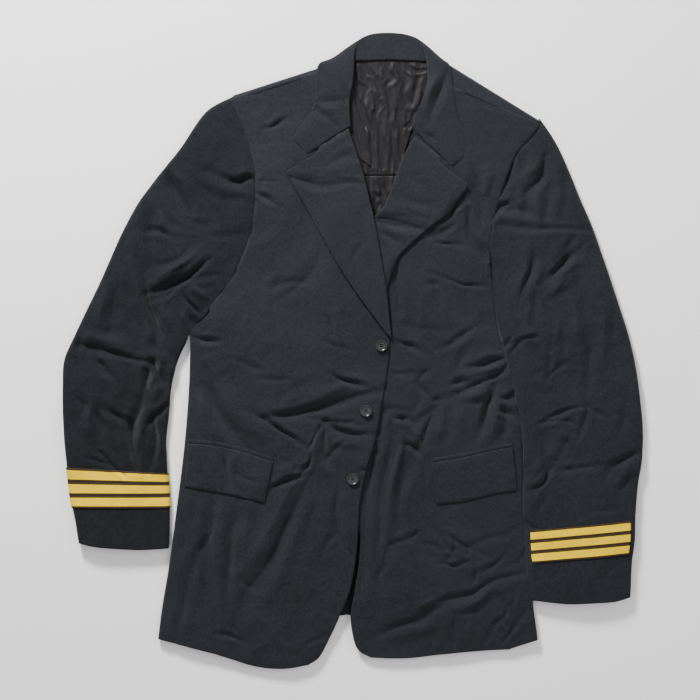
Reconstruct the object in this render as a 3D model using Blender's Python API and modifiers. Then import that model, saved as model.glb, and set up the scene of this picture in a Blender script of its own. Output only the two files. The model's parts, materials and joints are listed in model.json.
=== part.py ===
"""A pilot's uniform jacket laid flat on its back: three buttons, notch lapels, flapped pockets, braided cuffs.

The jacket lies on the plane z = 0 with its collar towards +Y and its left side towards +X. Every piece of
cloth is a wall of constant thickness on a surface that is drawn between the seams it is sewn along.
"""

import math

import bmesh
import bpy
import numpy as np
from mathutils import Vector

MM = 0.001

# Cloth walls, and how the layers lie on each other (heights of the middle of each wall, in mm).
CLOTH = 1.5
LINING = 1.0
BACK_Z = CLOTH / 2
FRONT_Z = 8.6
PILLOW = 2.4
LAPEL_RISE = 2.7
LAYER = CLOTH + 0.35
SEAM_GAP = 0.3
ARMHOLE_GAP = 1.1

# Overall plan of the jacket, in mm.
HALF_BODY = 250.0
SHOULDER_Y = 330.0
HEM_Y = -430.0
# The tables' own zero stands this far from the middle of the jacket's box, which is the part's origin.
CENTRE_X = -1.01
CENTRE_Y = -0.22

# Sleeves.
SLEEVE_TOP_Z = 11.0
SLEEVE_PILLOW = 2.0
SLEEVE_WRAP = 25.0
SLEEVE_COLUMNS = 14
SLEEVE_ROWS = 21

# Cuff braid: three stripes of half-inch braid.
BRAID_WIDTH = 11.2
BRAID_PITCH = 17.3
BRAID_THICK = 0.8
BRAID_COUNT = 3
BRAID_GAP = 0.45
CUFF_LIFT = BRAID_THICK + BRAID_GAP + 0.02

# Four-hole buttons.
BUTTON_RADIUS = 8.0
BUTTON_THICK = 2.8
BUTTON_HOLE_RADIUS = 0.9
BUTTON_HOLE_SPACING = 1.6
BUTTON_LIFT = 2.5

WOOL = (0.033, 0.038, 0.044)
SATIN = (0.034, 0.034, 0.040)
GOLD = (0.75, 0.52, 0.10)
HORN = (0.020, 0.019, 0.018)


def table(columns, *rows):
    """A table with named columns, as one array for each name."""
    values = np.array(rows, dtype=float)
    return {name: values[:, i] for i, name in enumerate(columns.split())}


# Seams that run up the body, each as x for a height y.
SIDE_SEAM_RIGHT = table(
    "y x",
    (-440, -184), (-411, -187), (-324, -190), (-216, -191), (-124, -191), (-27, -190), (59, -190),
)
SIDE_SEAM_LEFT = table(
    "y x",
    (-440, 211), (-405, 209), (-320, 203), (-232, 196), (-148, 188), (-65, 183), (0, 181), (64, 188),
)
BACK_SEAM_RIGHT = table("y x", (-400, -211), (-286, -196), (-132, -179), (-3, -176), (78, -179))
BACK_SEAM_LEFT = table("y x", (-400, 198), (-286, 196), (-132, 188), (-3, 184), (78, 187))
ARMHOLE_RIGHT = table(
    "y x",
    (26, -222), (46, -199), (73, -182), (105, -157), (144, -140), (174, -132), (205, -129),
    (240, -129), (266, -134), (293, -142), (317, -152), (345, -164),
)
ARMHOLE_LEFT = table(
    "y x",
    (38, 195), (59, 189), (93, 183), (123, 180.5), (148, 181), (169, 184), (188, 189),
    (208, 195), (236, 204), (266, 217), (284, 232), (312, 256),
)
CENTRE_SEAM = table("y x", (-360, -9), (-202, -4), (-54, 4), (84, 18), (209, 31), (395, 47))
NECK_ROW = 9

# Fronts: the free edge from the hem to the neck, the height of the same row at the side, how far
# the row is lifted by what lies under its edge, and the cloth given up to the turn of the lapel.
FRONT_RIGHT = table(
    "edge_x edge_y side_y lift turn",
    (-62, -426, -411, 0.0, 0),
    (-47, -416, -396, 0.0, 0),
    (-34, -393, -376, 0.0, 0),
    (-18, -358, -350, 0.0, 0),
    (-3, -317, -316, 0.6, 0),
    (5, -263, -270, 2.2, 0),
    (8, -209, -216, 2.2, 0),
    (17, -162, -169, 2.2, 0),
    (29, -122, -124, 2.2, 0),
    (37, -78, -74, 2.2, 0),
    (44, -38, -27, 2.2, 0),
    (51, 7, 20, 2.4, 2.4),
    (48, 43, 57, 3.4, 3.0),
    (44, 81, 84, 4.7, 3.0),
    (37, 124, 108, 4.9, 3.0),
    (28, 173, 144, 4.9, 3.0),
    (20, 208, 177, 3.2, 3.0),
    (11, 243, 211, 1.4, 3.0),
    (1, 274, 242, 0.0, 3.0),
    (-13, 296, 267, 0.0, 0),
    (-25, 321, 293, 0.0, 0),
    (-34, 347, 316, 0.0, 0),
    (-43, 373, 337, 0.0, 0),
)
FRONT_LEFT = table(
    "edge_x edge_y side_y lift turn",
    (24, -416, -405, 0, 0),
    (9, -408, -394, 0, 0),
    (1, -394, -381, 0, 0),
    (-4, -360, -353, 0, 0),
    (2, -324, -320, 0, 0),
    (8, -284, -280, 0, 0),
    (8, -246, -232, 0, 0),
    (-2, -202, -192, 0, 0),
    (-9, -162, -148, 0, 0),
    (-9, -122, -108, 0, 0),
    (-2, -78, -65, 0, 0),
    (5, -34, -22, 0, 0),
    (11, 7, 23, 0, 0),
    (18, 47, 60, 0, 3.0),
    (20, 88, 90, 0, 3.0),
    (20, 132, 122, 0, 3.0),
    (25, 173, 155, 0, 4.2),
    (43, 197, 184, 0, 4.8),
    (55, 227, 208, 0, 4.8),
    (67, 259, 236, 0, 4.8),
    (80, 283, 256, 0, 2.4),
    (95, 304, 272, 0, 0),
    (111, 327, 286, 0, 0),
    (126, 354, 302, 0, 0),
)
HEM_RIGHT = table("x y", (-187, -411), (-165, -418), (-132, -428), (-96, -431), (-62, -426))
HEM_LEFT = table("x y", (209, -405), (171, -407), (125, -411), (70, -417), (24, -416))

# Backs: the centre seam, then the neck edge, against the height of the same row at the side.
BACK_RIGHT = table(
    "centre_x centre_y side_y",
    (-9, -359, -392),
    (-6, -270, -286),
    (-2, -162, -170),
    (4, -54, -65),
    (14, 47, 38),
    (22, 124, 112),
    (31, 209, 186),
    (36, 256, 220),
    (43, 330, 258),
    (47, 389, 290),
    (17, 387, 306),
    (-11, 382, 322),
    (-43, 378, 340),
)
BACK_LEFT = table(
    "centre_x centre_y side_y",
    (-9, -359, -392),
    (-6, -270, -286),
    (-2, -162, -170),
    (4, -54, -65),
    (14, 47, 38),
    (22, 124, 112),
    (31, 209, 188),
    (36, 256, 214),
    (43, 330, 244),
    (47, 389, 272),
    (74, 388, 284),
    (98, 386, 295),
    (124, 384, 306),
)
# The front end of the shoulder seam that the back wraps over to: neck end and armhole end.
SHOULDER_SEAM_RIGHT = table("x y", (-42, 376), (-159, 339))
SHOULDER_SEAM_LEFT = table("x y", (127, 357), (251, 305))

# Side bodies: the fold that they turn round, from the hem to the armpit.
SIDE_FOLD_RIGHT = table(
    "x y front_y back_y",
    (-264, -391, -411, -392),
    (-259, -350, -364, -350),
    (-249, -290, -300, -290),
    (-239, -215, -216, -220),
    (-228, -125, -124, -125),
    (-223, -60, -50, -50),
    (-221, -8, 14, 20),
    (-222, 26, 59, 75),
)
SIDE_FOLD_LEFT = table(
    "x y front_y back_y",
    (249, -392, -405, -392),
    (242, -340, -353, -340),
    (236, -290, -300, -290),
    (231, -205, -216, -215),
    (228, -125, -124, -125),
    (220, -66, -50, -50),
    (205, -3, 14, 20),
    (194, 36, 64, 75),
)

# Sleeves: the outer and inner fold at each section, from the sleeve head to the cuff.
SLEEVE_RIGHT = table(
    "outer_x outer_y inner_x inner_y",
    (-163, 343, -222, 26),
    (-200, 321, -225, 17),
    (-234, 272, -228, 8),
    (-264, 235, -232, 0),
    (-291, 198, -236, -9),
    (-313, 158, -240, -20),
    (-329, 122, -243, -32),
    (-344, 88, -246, -45),
    (-360, 55, -248, -58),
    (-376, 21, -249, -72),
    (-391, -14, -250, -86),
    (-393, -50, -252, -104),
    (-393, -84, -254, -124),
    (-391, -119, -253, -143),
    (-387, -158, -252, -166),
    (-383, -196, -250, -196),
    (-376, -230, -249, -232),
    (-371, -261, -250, -268),
)
SLEEVE_LEFT = table(
    "outer_x outer_y inner_x inner_y",
    (253, 310, 195, 38),
    (273, 279, 199, 25),
    (290, 242, 203, 11),
    (306, 203, 206, -3),
    (322, 167, 210, -18),
    (336, 128, 214, -34),
    (349, 90, 218, -49),
    (361, 54, 222, -66),
    (372, 19, 226, -85),
    (381, -20, 229, -105),
    (387, -63, 232, -128),
    (391, -106, 233, -153),
    (390, -146, 234, -178),
    (384, -186, 234, -207),
    (381, -223, 236, -238),
    (380, -256, 238, -269),
    (376, -290, 241, -301),
    (374, -334, 246, -338),
)
# Cuff edge between the outer and the inner fold, and where the first stripe starts above it.
CUFF_RIGHT = table("x y", (-371, -261), (-348, -266), (-313, -269), (-284, -270), (-250, -268))
CUFF_LEFT = table("x y", (374, -334), (352, -340), (318, -342), (286, -343), (246, -338))
BRAID_START = 55.0

# Lapels: the roll line against the free edge.
LAPEL_RIGHT = table(
    "roll_x roll_y edge_x edge_y",
    (51, 16, 43, 24),
    (48, 43, 30, 42),
    (44, 81, 7, 73),
    (37, 124, -20, 114),
    (28, 173, -45, 159),
    (20, 208, -64, 193),
    (11, 243, -78, 217),
    (1, 274, -86, 233),
    (-5, 292, -89, 241),
)
LAPEL_LEFT = table(
    "roll_x roll_y edge_x edge_y",
    (20, 88, 45, 84),
    (20, 110, 52, 108),
    (20, 132, 61, 127),
    (22, 155, 78, 144),
    (27, 177, 102, 165),
    (43, 197, 129, 186),
    (55, 227, 142, 204),
    (67, 259, 151, 215),
    (79, 281, 155, 221),
)

# Collar, from the right gorge round the neck to the left gorge. Across it: the neck seam, the roll,
# the middle of the leaf and the leaf's edge, with a height for each.
COLLAR = table(
    "neck_x neck_y neck_z roll_x roll_y roll_z leaf_x leaf_y leaf_z edge_x edge_y edge_z",
    (-12, 299, 11.4, -5, 302, 12.6, -32, 285, 13.2, -62, 264, 12.2),
    (-18, 312, 11.2, -7, 322, 12.6, -43, 305, 13.6, -83, 286, 12.2),
    (-26, 334, 10.6, -6, 342, 12.2, -33, 334, 13.6, -56, 324, 12.2),
    (-30, 352, 8.6, -2, 358, 11.4, -26, 354, 13.4, -51, 350, 12.2),
    (-34, 380, 6.5, 0, 382, 10.0, -22, 384, 11.6, -48, 384, 11.0),
    (-20, 391, 5.4, 1, 402, 7.6, -14, 404, 6.4, -30, 392, 4.4),
    (0, 394, 4.6, 8, 418, 4.8, 2, 414, 2.0, -4, 391, 1.2),
    (22, 395, 4.3, 24, 427, 3.6, 23, 412, 1.1, 22, 393, 0.8),
    (47, 396, 4.3, 47, 429, 3.6, 47, 412, 1.1, 47, 394, 0.8),
    (72, 395, 4.3, 70, 427, 3.6, 71, 412, 1.1, 72, 394, 0.8),
    (92, 394, 4.6, 86, 420, 4.8, 93, 414, 2.0, 96, 392, 1.2),
    (110, 391, 5.4, 96, 406, 7.6, 108, 404, 6.4, 118, 392, 4.4),
    (120, 382, 6.5, 100, 384, 10.0, 115, 388, 11.6, 130, 384, 11.0),
    (118, 352, 8.8, 100, 362, 11.4, 117, 362, 13.4, 134, 358, 12.2),
    (110, 332, 10.6, 94, 340, 12.2, 116, 336, 13.6, 138, 328, 12.2),
    (96, 311, 11.2, 84, 314, 12.6, 113, 300, 13.6, 154, 264, 12.2),
    (86, 291, 11.4, 81, 298, 12.6, 106, 273, 13.2, 133, 248, 12.2),
)

# Linings that show in the neck: the right edge against the left edge, from the bottom upwards.
LINING_LOWER = table(
    "right_x right_y left_x left_y",
    (-10, 90, 44, 92),
    (-14, 130, 46, 132),
    (-16, 180, 52, 182),
    (-16, 236, 62, 236),
)
LINING_UPPER = table(
    "right_x right_y left_x left_y",
    (-16, 237, 62, 237),
    (-18, 280, 74, 284),
    (-22, 322, 90, 330),
    (-20, 355, 104, 360),
    (-6, 391, 98, 391),
)
FACING_RIGHT = table(
    "outer_x outer_y inner_x inner_y",
    (-2, 268, 24, 248),
    (-12, 290, 20, 280),
    (-20, 312, 12, 306),
    (-26, 340, 3, 332),
    (-28, 366, -2, 362),
)

# Flaps and their welts: the sewn corners and the free corners, from the front edge to the side.
FLAP_RIGHT = table(
    "sewn_x sewn_y free_x free_y",
    (-108, -151, -120, -207),
    (-152, -137, -160, -197),
    (-191, -129, -200, -190),
    (-224, -126, -228, -185),
)
FLAP_LEFT = table(
    "sewn_x sewn_y free_x free_y",
    (105, -152, 112, -208),
    (143, -146, 150, -204),
    (183, -137, 187, -195),
    (215, -131, 221, -189),
)
WELT_RISE = 5.5

# Buttons, from the top one down.
BUTTONS = table("x y", (37.5, 6), (17, -82), (-1, -174))


def smoothstep(low, high, value):
    share = np.clip((value - low) / (high - low), 0.0, 1.0)
    return share * share * (3.0 - 2.0 * share)


def along(column, share):
    """The smooth curve through a column's values, read at a share from 0 to 1."""
    last = len(column) - 1
    place = min(max(share, 0.0), 1.0) * last
    start = min(int(place), last - 1)
    t = place - start
    p1 = column[start]
    p2 = column[start + 1]
    p0 = column[start - 1] if start > 0 else 2 * p1 - p2
    p3 = column[start + 2] if start + 2 <= last else 2 * p2 - p1
    bend = 2 * p0 - 5 * p1 + 4 * p2 - p3
    cubic = 3 * p1 - p0 - 3 * p2 + p3
    return 0.5 * (2 * p1 + (p2 - p0) * t + bend * t * t + cubic * t**3)


def seam_x(seam, y, samples=161):
    """x of a seam at the height y."""
    shares = np.linspace(0.0, 1.0, samples)
    heights = [along(seam["y"], share) for share in shares]
    places = [along(seam["x"], share) for share in shares]
    return float(np.interp(y, heights, places))


def body_edge_x(seam, armhole, y):
    """x of the edge that follows a side seam up to the armhole and then the armhole."""
    if y <= seam["y"][-1]:
        return seam_x(seam, y)
    return seam_x(armhole, y)


def mix(a, b, share):
    return a + (b - a) * share


def plan(entry, name, share):
    return np.array([along(entry[name + "_x"], share), along(entry[name + "_y"], share)])


def path(entry, share):
    return np.array([along(entry["x"], share), along(entry["y"], share)])


def front_height(x, y):
    """Middle of the uppermost body cloth: low at the sides, hem and shoulders, fuller at the chest."""
    across = 1.0 - min(abs(x) / HALF_BODY, 1.0) ** 2
    ends = smoothstep(HEM_Y, HEM_Y + 120, y) * (1.0 - smoothstep(SHOULDER_Y - 130, SHOULDER_Y, y))
    return FRONT_Z + PILLOW * across * (0.35 + 0.65 * ends)


# Surfaces. Each takes u along the piece and v across it, both from 0 to 1, and gives a point in mm.


def front_surface(entry, seam, armhole, hem, side):
    """A front, from its side seam (v = 0) to its free edge (v = 1). side is -1 for right and 1 for left."""

    def surface(u, v):
        edge = plan(entry, "edge", u)
        edge[0] += side * along(entry["turn"], u)
        side_y = along(entry["side_y"], u)
        gap = SEAM_GAP if side_y <= seam["y"][-1] else ARMHOLE_GAP
        seam_point = np.array([body_edge_x(seam, armhole, side_y) - side * gap / 2, side_y])
        point = mix(seam_point, edge, v)
        hem_share = (1.0 - smoothstep(0.0, 0.14, u))
        point += hem_share * (path(hem, v) - mix(path(hem, 0.0), path(hem, 1.0), v))
        lift = max(along(entry["lift"], u), 0.0) * smoothstep(-75.0, -25.0, point[0])
        return (point[0], point[1], front_height(*point) + lift)

    return surface


def back_surface(entry, seam, armhole, shoulder, side):
    """A back, from the centre seam (v = 0) to the side; its top turns over the shoulder to the front."""
    turn_start = 0.76
    turn_end = 0.93

    def flat(u, v):
        centre = plan(entry, "centre", u)
        if u * (len(entry["side_y"]) - 1) <= NECK_ROW:
            centre[0] = seam_x(CENTRE_SEAM, centre[1]) + side * SEAM_GAP / 2
        side_y = along(entry["side_y"], u)
        gap = SEAM_GAP if side_y <= seam["y"][-1] else ARMHOLE_GAP
        return mix(centre, np.array([body_edge_x(seam, armhole, side_y) - side * gap / 2, side_y]), v)

    def surface(u, v):
        if u <= turn_start:
            x, y = flat(u / turn_start, v)
            return (x, y, BACK_Z)
        fold = flat(1.0, v)
        line = flat(1.0, 1.0) - flat(1.0, 0.0)
        out = np.array([-line[1], line[0]]) * side / np.linalg.norm(line)
        target = mix(path(shoulder, 0.0), path(shoulder, 1.0), v)
        target[0] -= side * ARMHOLE_GAP / 2 * v
        radius = (front_height(*fold) - BACK_Z) / 2
        if u <= turn_end:
            angle = math.pi * (u - turn_start) / (turn_end - turn_start)
            x, y = fold + out * radius * math.sin(angle)
            return (x, y, BACK_Z + radius * (1.0 - math.cos(angle)))
        point = mix(fold, target, (u - turn_end) / (1.0 - turn_end))
        return (point[0], point[1], front_height(*point))

    return surface


def side_surface(entry, front_seam, back_seam, armhole, side):
    """A side body, from its front seam round the fold at the side to its back seam."""
    flat_share = 0.36
    top = entry["y"][-1]

    def surface(u, v):
        fold = path(entry, u)
        radius = (front_height(*fold) - BACK_Z) / 2
        front = v < 0.5
        seam_y = along(entry["front_y" if front else "back_y"], u)
        seam = front_seam if front else back_seam
        edge = np.array([seam_x(seam, seam_y) + side * SEAM_GAP / 2, seam_y])
        run = edge - fold
        length = np.linalg.norm(run)
        centre = fold + run / length * radius

        def bent(point):
            """The top row follows the armhole."""
            share = smoothstep(0.8, 1.0, u)
            row = (point[1] - fold[1]) / (edge[1] - fold[1]) if share > 0 else 0.0
            on_curve_y = mix(top, seam_y, row)
            shift = seam_x(armhole, on_curve_y) - mix(seam_x(armhole, top), seam_x(armhole, seam_y), row)
            shift -= side * 1.7 * ARMHOLE_GAP * (1.0 - row)
            return point + np.array([shift * share, 0.0])

        if flat_share <= v <= 1.0 - flat_share:
            angle = math.pi * (v - flat_share) / (1.0 - 2 * flat_share)
            x, y = bent(centre - run / length * radius * math.sin(angle))
            return (x, y, BACK_Z + radius * (1.0 + math.cos(angle)))
        if front:
            x, y = bent(mix(edge, centre, v / flat_share))
            return (x, y, front_height(x, y))
        x, y = bent(mix(edge, centre, (1.0 - v) / flat_share))
        return (x, y, BACK_Z)

    return surface


def sleeve_row(entry, armhole, cuff, side, u, share):
    """A place on the plan of a sleeve: u from the head to the cuff, share from the outer to the inner fold."""
    outer = plan(entry, "outer", u)
    inner = plan(entry, "inner", u)
    point = mix(outer, inner, share)
    head = 1.0 - smoothstep(0.0, mix(0.42, 0.09, share * share), u)
    if head > 0.0:
        high = entry["outer_y"][0]
        low = entry["inner_y"][0]
        y = mix(high, low, share)
        chord = mix(entry["outer_x"][0], entry["inner_x"][0], share)
        point[0] += head * (seam_x(armhole, y) - chord)
        point[0] += side * ARMHOLE_GAP / 2 * head
    end = smoothstep(0.9, 1.0, u)
    if end > 0.0:
        straight = mix(path(cuff, 0.0), path(cuff, 1.0), share)
        point += end * (path(cuff, share) - straight)
    limit = seam_x(armhole, point[1]) + side * ARMHOLE_GAP / 2
    point[0] = max(point[0], limit) if side > 0 else min(point[0], limit)
    return point


def sleeve_section(entry, armhole, cuff, side, u, offset=0.0):
    """One ring of a sleeve: its width, fold radius and a function from (distance across, layer) to a point."""
    width = np.linalg.norm(plan(entry, "inner", u) - plan(entry, "outer", u))
    lifted = CUFF_LIFT * smoothstep(0.68, 0.75, u)
    low = BACK_Z + lifted - offset
    full = smoothstep(0.0, 0.16, u)
    middle = sleeve_row(entry, armhole, cuff, side, u, 0.5)
    high = mix(front_height(*middle), SLEEVE_TOP_Z + lifted, full) + offset
    radius = (high - low) / 2

    def top(distance):
        share = (distance - radius) / (width - 2 * radius)
        x, y = sleeve_row(entry, armhole, cuff, side, u, distance / width)
        puff = 4 * max(share, 0.0) * max(1 - share, 0.0)
        body = front_height(x, y) + offset
        fuller = high + SLEEVE_PILLOW * puff * full
        return (x, y, mix(mix(body, high, abs(2 * share - 1) ** 3), fuller, full))

    def turn(at_inner, angle):
        centre = width - radius if at_inner else radius
        reach = radius + offset
        distance = centre + (1 if at_inner else -1) * reach * math.cos(angle)
        x, y = sleeve_row(entry, armhole, cuff, side, u, distance / width)
        return (x, y, low + radius + radius * math.sin(angle))

    def under(distance):
        x, y = sleeve_row(entry, armhole, cuff, side, u, distance / width)
        return (x, y, low)

    return width, radius, top, turn, under


def sleeve_top_surface(*sleeve):
    """The upper piece of a sleeve: from its outer seam underneath, over both folds, to its inner seam."""
    strip = 1 / SLEEVE_COLUMNS
    fold = 3 / SLEEVE_COLUMNS

    def surface(u, v):
        width, radius, top, turn, under = sleeve_section(*sleeve, u)
        wrap = SLEEVE_WRAP - SEAM_GAP / 2
        half_turn = math.pi
        if v < strip:
            return under(mix(wrap, radius, v / strip))
        if v < strip + fold:
            return turn(False, mix(-half_turn / 2, half_turn / 2, (v - strip) / fold))
        if v <= 1 - strip - fold:
            share = (v - strip - fold) / (1 - 2 * strip - 2 * fold)
            return top(mix(radius, width - radius, share))
        if v <= 1 - strip:
            return turn(True, mix(half_turn / 2, -half_turn / 2, (v - 1 + strip + fold) / fold))
        return under(mix(width - radius, width - wrap, (v - 1 + strip) / strip))

    return surface


def sleeve_under_surface(*sleeve):
    """The lower piece of a sleeve, flat on the plane that the jacket lies on."""

    def surface(u, v):
        width, _, _, _, under = sleeve_section(*sleeve, u)
        wrap = SLEEVE_WRAP + SEAM_GAP / 2
        return under(mix(wrap, width - wrap, v))

    return surface


def braid_surface(sleeve, number):
    """One stripe of braid: a closed band round the sleeve, just clear of its cloth."""
    entry = sleeve[0]
    outer = (entry["outer_x"][-4:], entry["outer_y"][-4:])
    length = float(np.sum(np.hypot(np.diff(outer[0]), np.diff(outer[1]))))
    share_per_mm = 3 / (len(entry["outer_x"]) - 1) / length
    offset = CLOTH / 2 + BRAID_GAP + BRAID_THICK / 2

    def surface(u, v):
        above_cuff = BRAID_START + BRAID_PITCH * number + BRAID_WIDTH * u
        along_sleeve = 1.0 - above_cuff * share_per_mm
        width, radius, top, turn, under = sleeve_section(*sleeve, along_sleeve, offset)
        quarter = v * 4
        if quarter < 1:
            return top(mix(radius, width - radius, quarter))
        if quarter < 2:
            return turn(True, mix(math.pi / 2, -math.pi / 2, quarter - 1))
        if quarter < 3:
            return under(mix(width - radius, radius, quarter - 2))
        return turn(False, mix(-math.pi / 2, math.pi / 2, quarter - 3))

    return surface


def lapel_surface(entry, front, side):
    """A lapel: it turns over the front's edge at the roll line (v = 0) and lies on the front."""
    turn_share = 0.24
    radius = LAPEL_RISE / 2

    def surface(u, v):
        roll = plan(entry, "roll", u)
        edge = plan(entry, "edge", u)
        run = edge - roll
        run /= np.linalg.norm(run)
        inner = roll + run * radius
        lift = lapel_lift(front, side, roll[1]) * smoothstep(-75.0, -25.0, roll[0])
        if v < turn_share:
            angle = math.pi * (v / turn_share)
            x, y = inner - run * radius * math.sin(angle) + run * SEAM_GAP * (1 - v / turn_share)
            return (x, y, front_height(x, y) + lift + radius * (1 - math.cos(angle)))
        x, y = mix(inner, edge, (v - turn_share) / (1 - turn_share))
        lift = lapel_lift(front, side, y) * smoothstep(-75.0, -25.0, x)
        return (x, y, front_height(x, y) + lift + LAPEL_RISE)

    return surface


def lapel_lift(front, side, y):
    if side > 0:
        return 0.0
    return float(np.interp(y, front["edge_y"], front["lift"]))


def collar_surface(u, v):
    """The collar: up from the neck seam, over the roll and down the leaf."""
    names = ("neck", "roll", "leaf", "edge")
    stations = [
        np.array([along(COLLAR[name + axis], u) for axis in ("_x", "_y", "_z")]) for name in names
    ]
    return tuple(along(np.array(stations), v))


def lining_surface(entry, first, second, height):
    def surface(u, v):
        x, y = mix(plan(entry, first, u), plan(entry, second, u), v)
        return (x, y, height)

    return surface


def flap_surface(entry):
    def surface(u, v):
        x, y = mix(plan(entry, "sewn", u), plan(entry, "free", u), v)
        return (x, y, front_height(x, y) + LAYER)

    return surface


def welt_surface(entry):
    def surface(u, v):
        x, y = plan(entry, "sewn", u)
        y += 0.8 + WELT_RISE * v
        return (x, y, front_height(x, y) + LAYER - 0.2)

    return surface


# Objects.


def material(name, colour, roughness, metallic=0.0):
    made = bpy.data.materials.get(name) or bpy.data.materials.new(name)
    made.use_nodes = True
    shader = made.node_tree.nodes["Principled BSDF"]
    shader.inputs["Base Color"].default_value = (*colour, 1.0)
    shader.inputs["Roughness"].default_value = roughness
    shader.inputs["Metallic"].default_value = metallic
    return made


def add_object(name, mesh, finish, collection):
    mesh.materials.append(finish)
    mesh.shade_smooth()
    mesh.set_sharp_from_angle(angle=math.radians(40))
    made = bpy.data.objects.new(name, mesh)
    made.parent = collection.objects["jacket"]
    collection.objects.link(made)
    return made


def add_cloth(name, surface, rows, columns, finish, collection, thickness=CLOTH, ring=False):
    """A wall of cloth: a grid laid on the surface, given its thickness by Solidify."""
    form = bmesh.new()
    bmesh.ops.create_grid(form, x_segments=rows, y_segments=columns, size=0.5)
    for vertex in form.verts:
        u = vertex.co.x + 0.5
        v = vertex.co.y + 0.5
        vertex.co = Vector(surface(u, v)) * MM
    if ring:
        bmesh.ops.remove_doubles(form, verts=form.verts, dist=1e-6)
    mesh = bpy.data.meshes.new(name)
    form.to_mesh(mesh)
    form.free()
    made = add_object(name, mesh, finish, collection)
    wall = made.modifiers.new("wall", "SOLIDIFY")
    wall.thickness = thickness * MM
    wall.offset = 0.0
    return made


def add_button(number, x, y, finish, collection, cutters):
    """A turned four-hole button with a raised rim, lying on the front."""
    name = f"button_{number}"
    base = front_height(x, y) + BUTTON_LIFT + CLOTH / 2 + SEAM_GAP
    profile = (
        (0.0, 0.9),
        (BUTTON_RADIUS - 2.2, 1.0),
        (BUTTON_RADIUS - 1.2, BUTTON_THICK),
        (BUTTON_RADIUS - 0.4, BUTTON_THICK),
        (BUTTON_RADIUS, BUTTON_THICK - 0.6),
        (BUTTON_RADIUS, 0.7),
        (BUTTON_RADIUS - 0.8, 0.0),
        (0.0, 0.0),
    )
    mesh = bpy.data.meshes.new(name)
    form = bmesh.new()
    verts = [form.verts.new((radius * MM, 0.0, height * MM)) for radius, height in profile]
    for first, second in zip(verts, verts[1:]):
        form.edges.new((first, second))
    form.to_mesh(mesh)
    form.free()
    made = add_object(name, mesh, finish, collection)
    made.location = (x * MM, y * MM, base * MM)
    turned = made.modifiers.new("turn", "SCREW")
    turned.steps = 28
    turned.render_steps = 28
    turned.use_merge_vertices = True
    turned.merge_threshold = 0.00001
    for i in range(4):
        angle = math.radians(45 + 90 * i)
        bpy.ops.mesh.primitive_cylinder_add(
            vertices=10,
            radius=BUTTON_HOLE_RADIUS * MM,
            depth=4 * BUTTON_THICK * MM,
            location=(
                (x + BUTTON_HOLE_SPACING * math.cos(angle)) * MM,
                (y + BUTTON_HOLE_SPACING * math.sin(angle)) * MM,
                base * MM,
            ),
        )
        cutter = bpy.context.object
        cutter.name = f"{name}_hole_{i + 1}"
        cutter.hide_render = True
        cutter.display_type = "WIRE"
        for holder in cutter.users_collection:
            holder.objects.unlink(cutter)
        cutters.objects.link(cutter)
        cutter.parent = made.parent
        cut = made.modifiers.new(f"hole_{i + 1}", "BOOLEAN")
        cut.operation = "DIFFERENCE"
        cut.object = cutter
    return made


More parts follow.
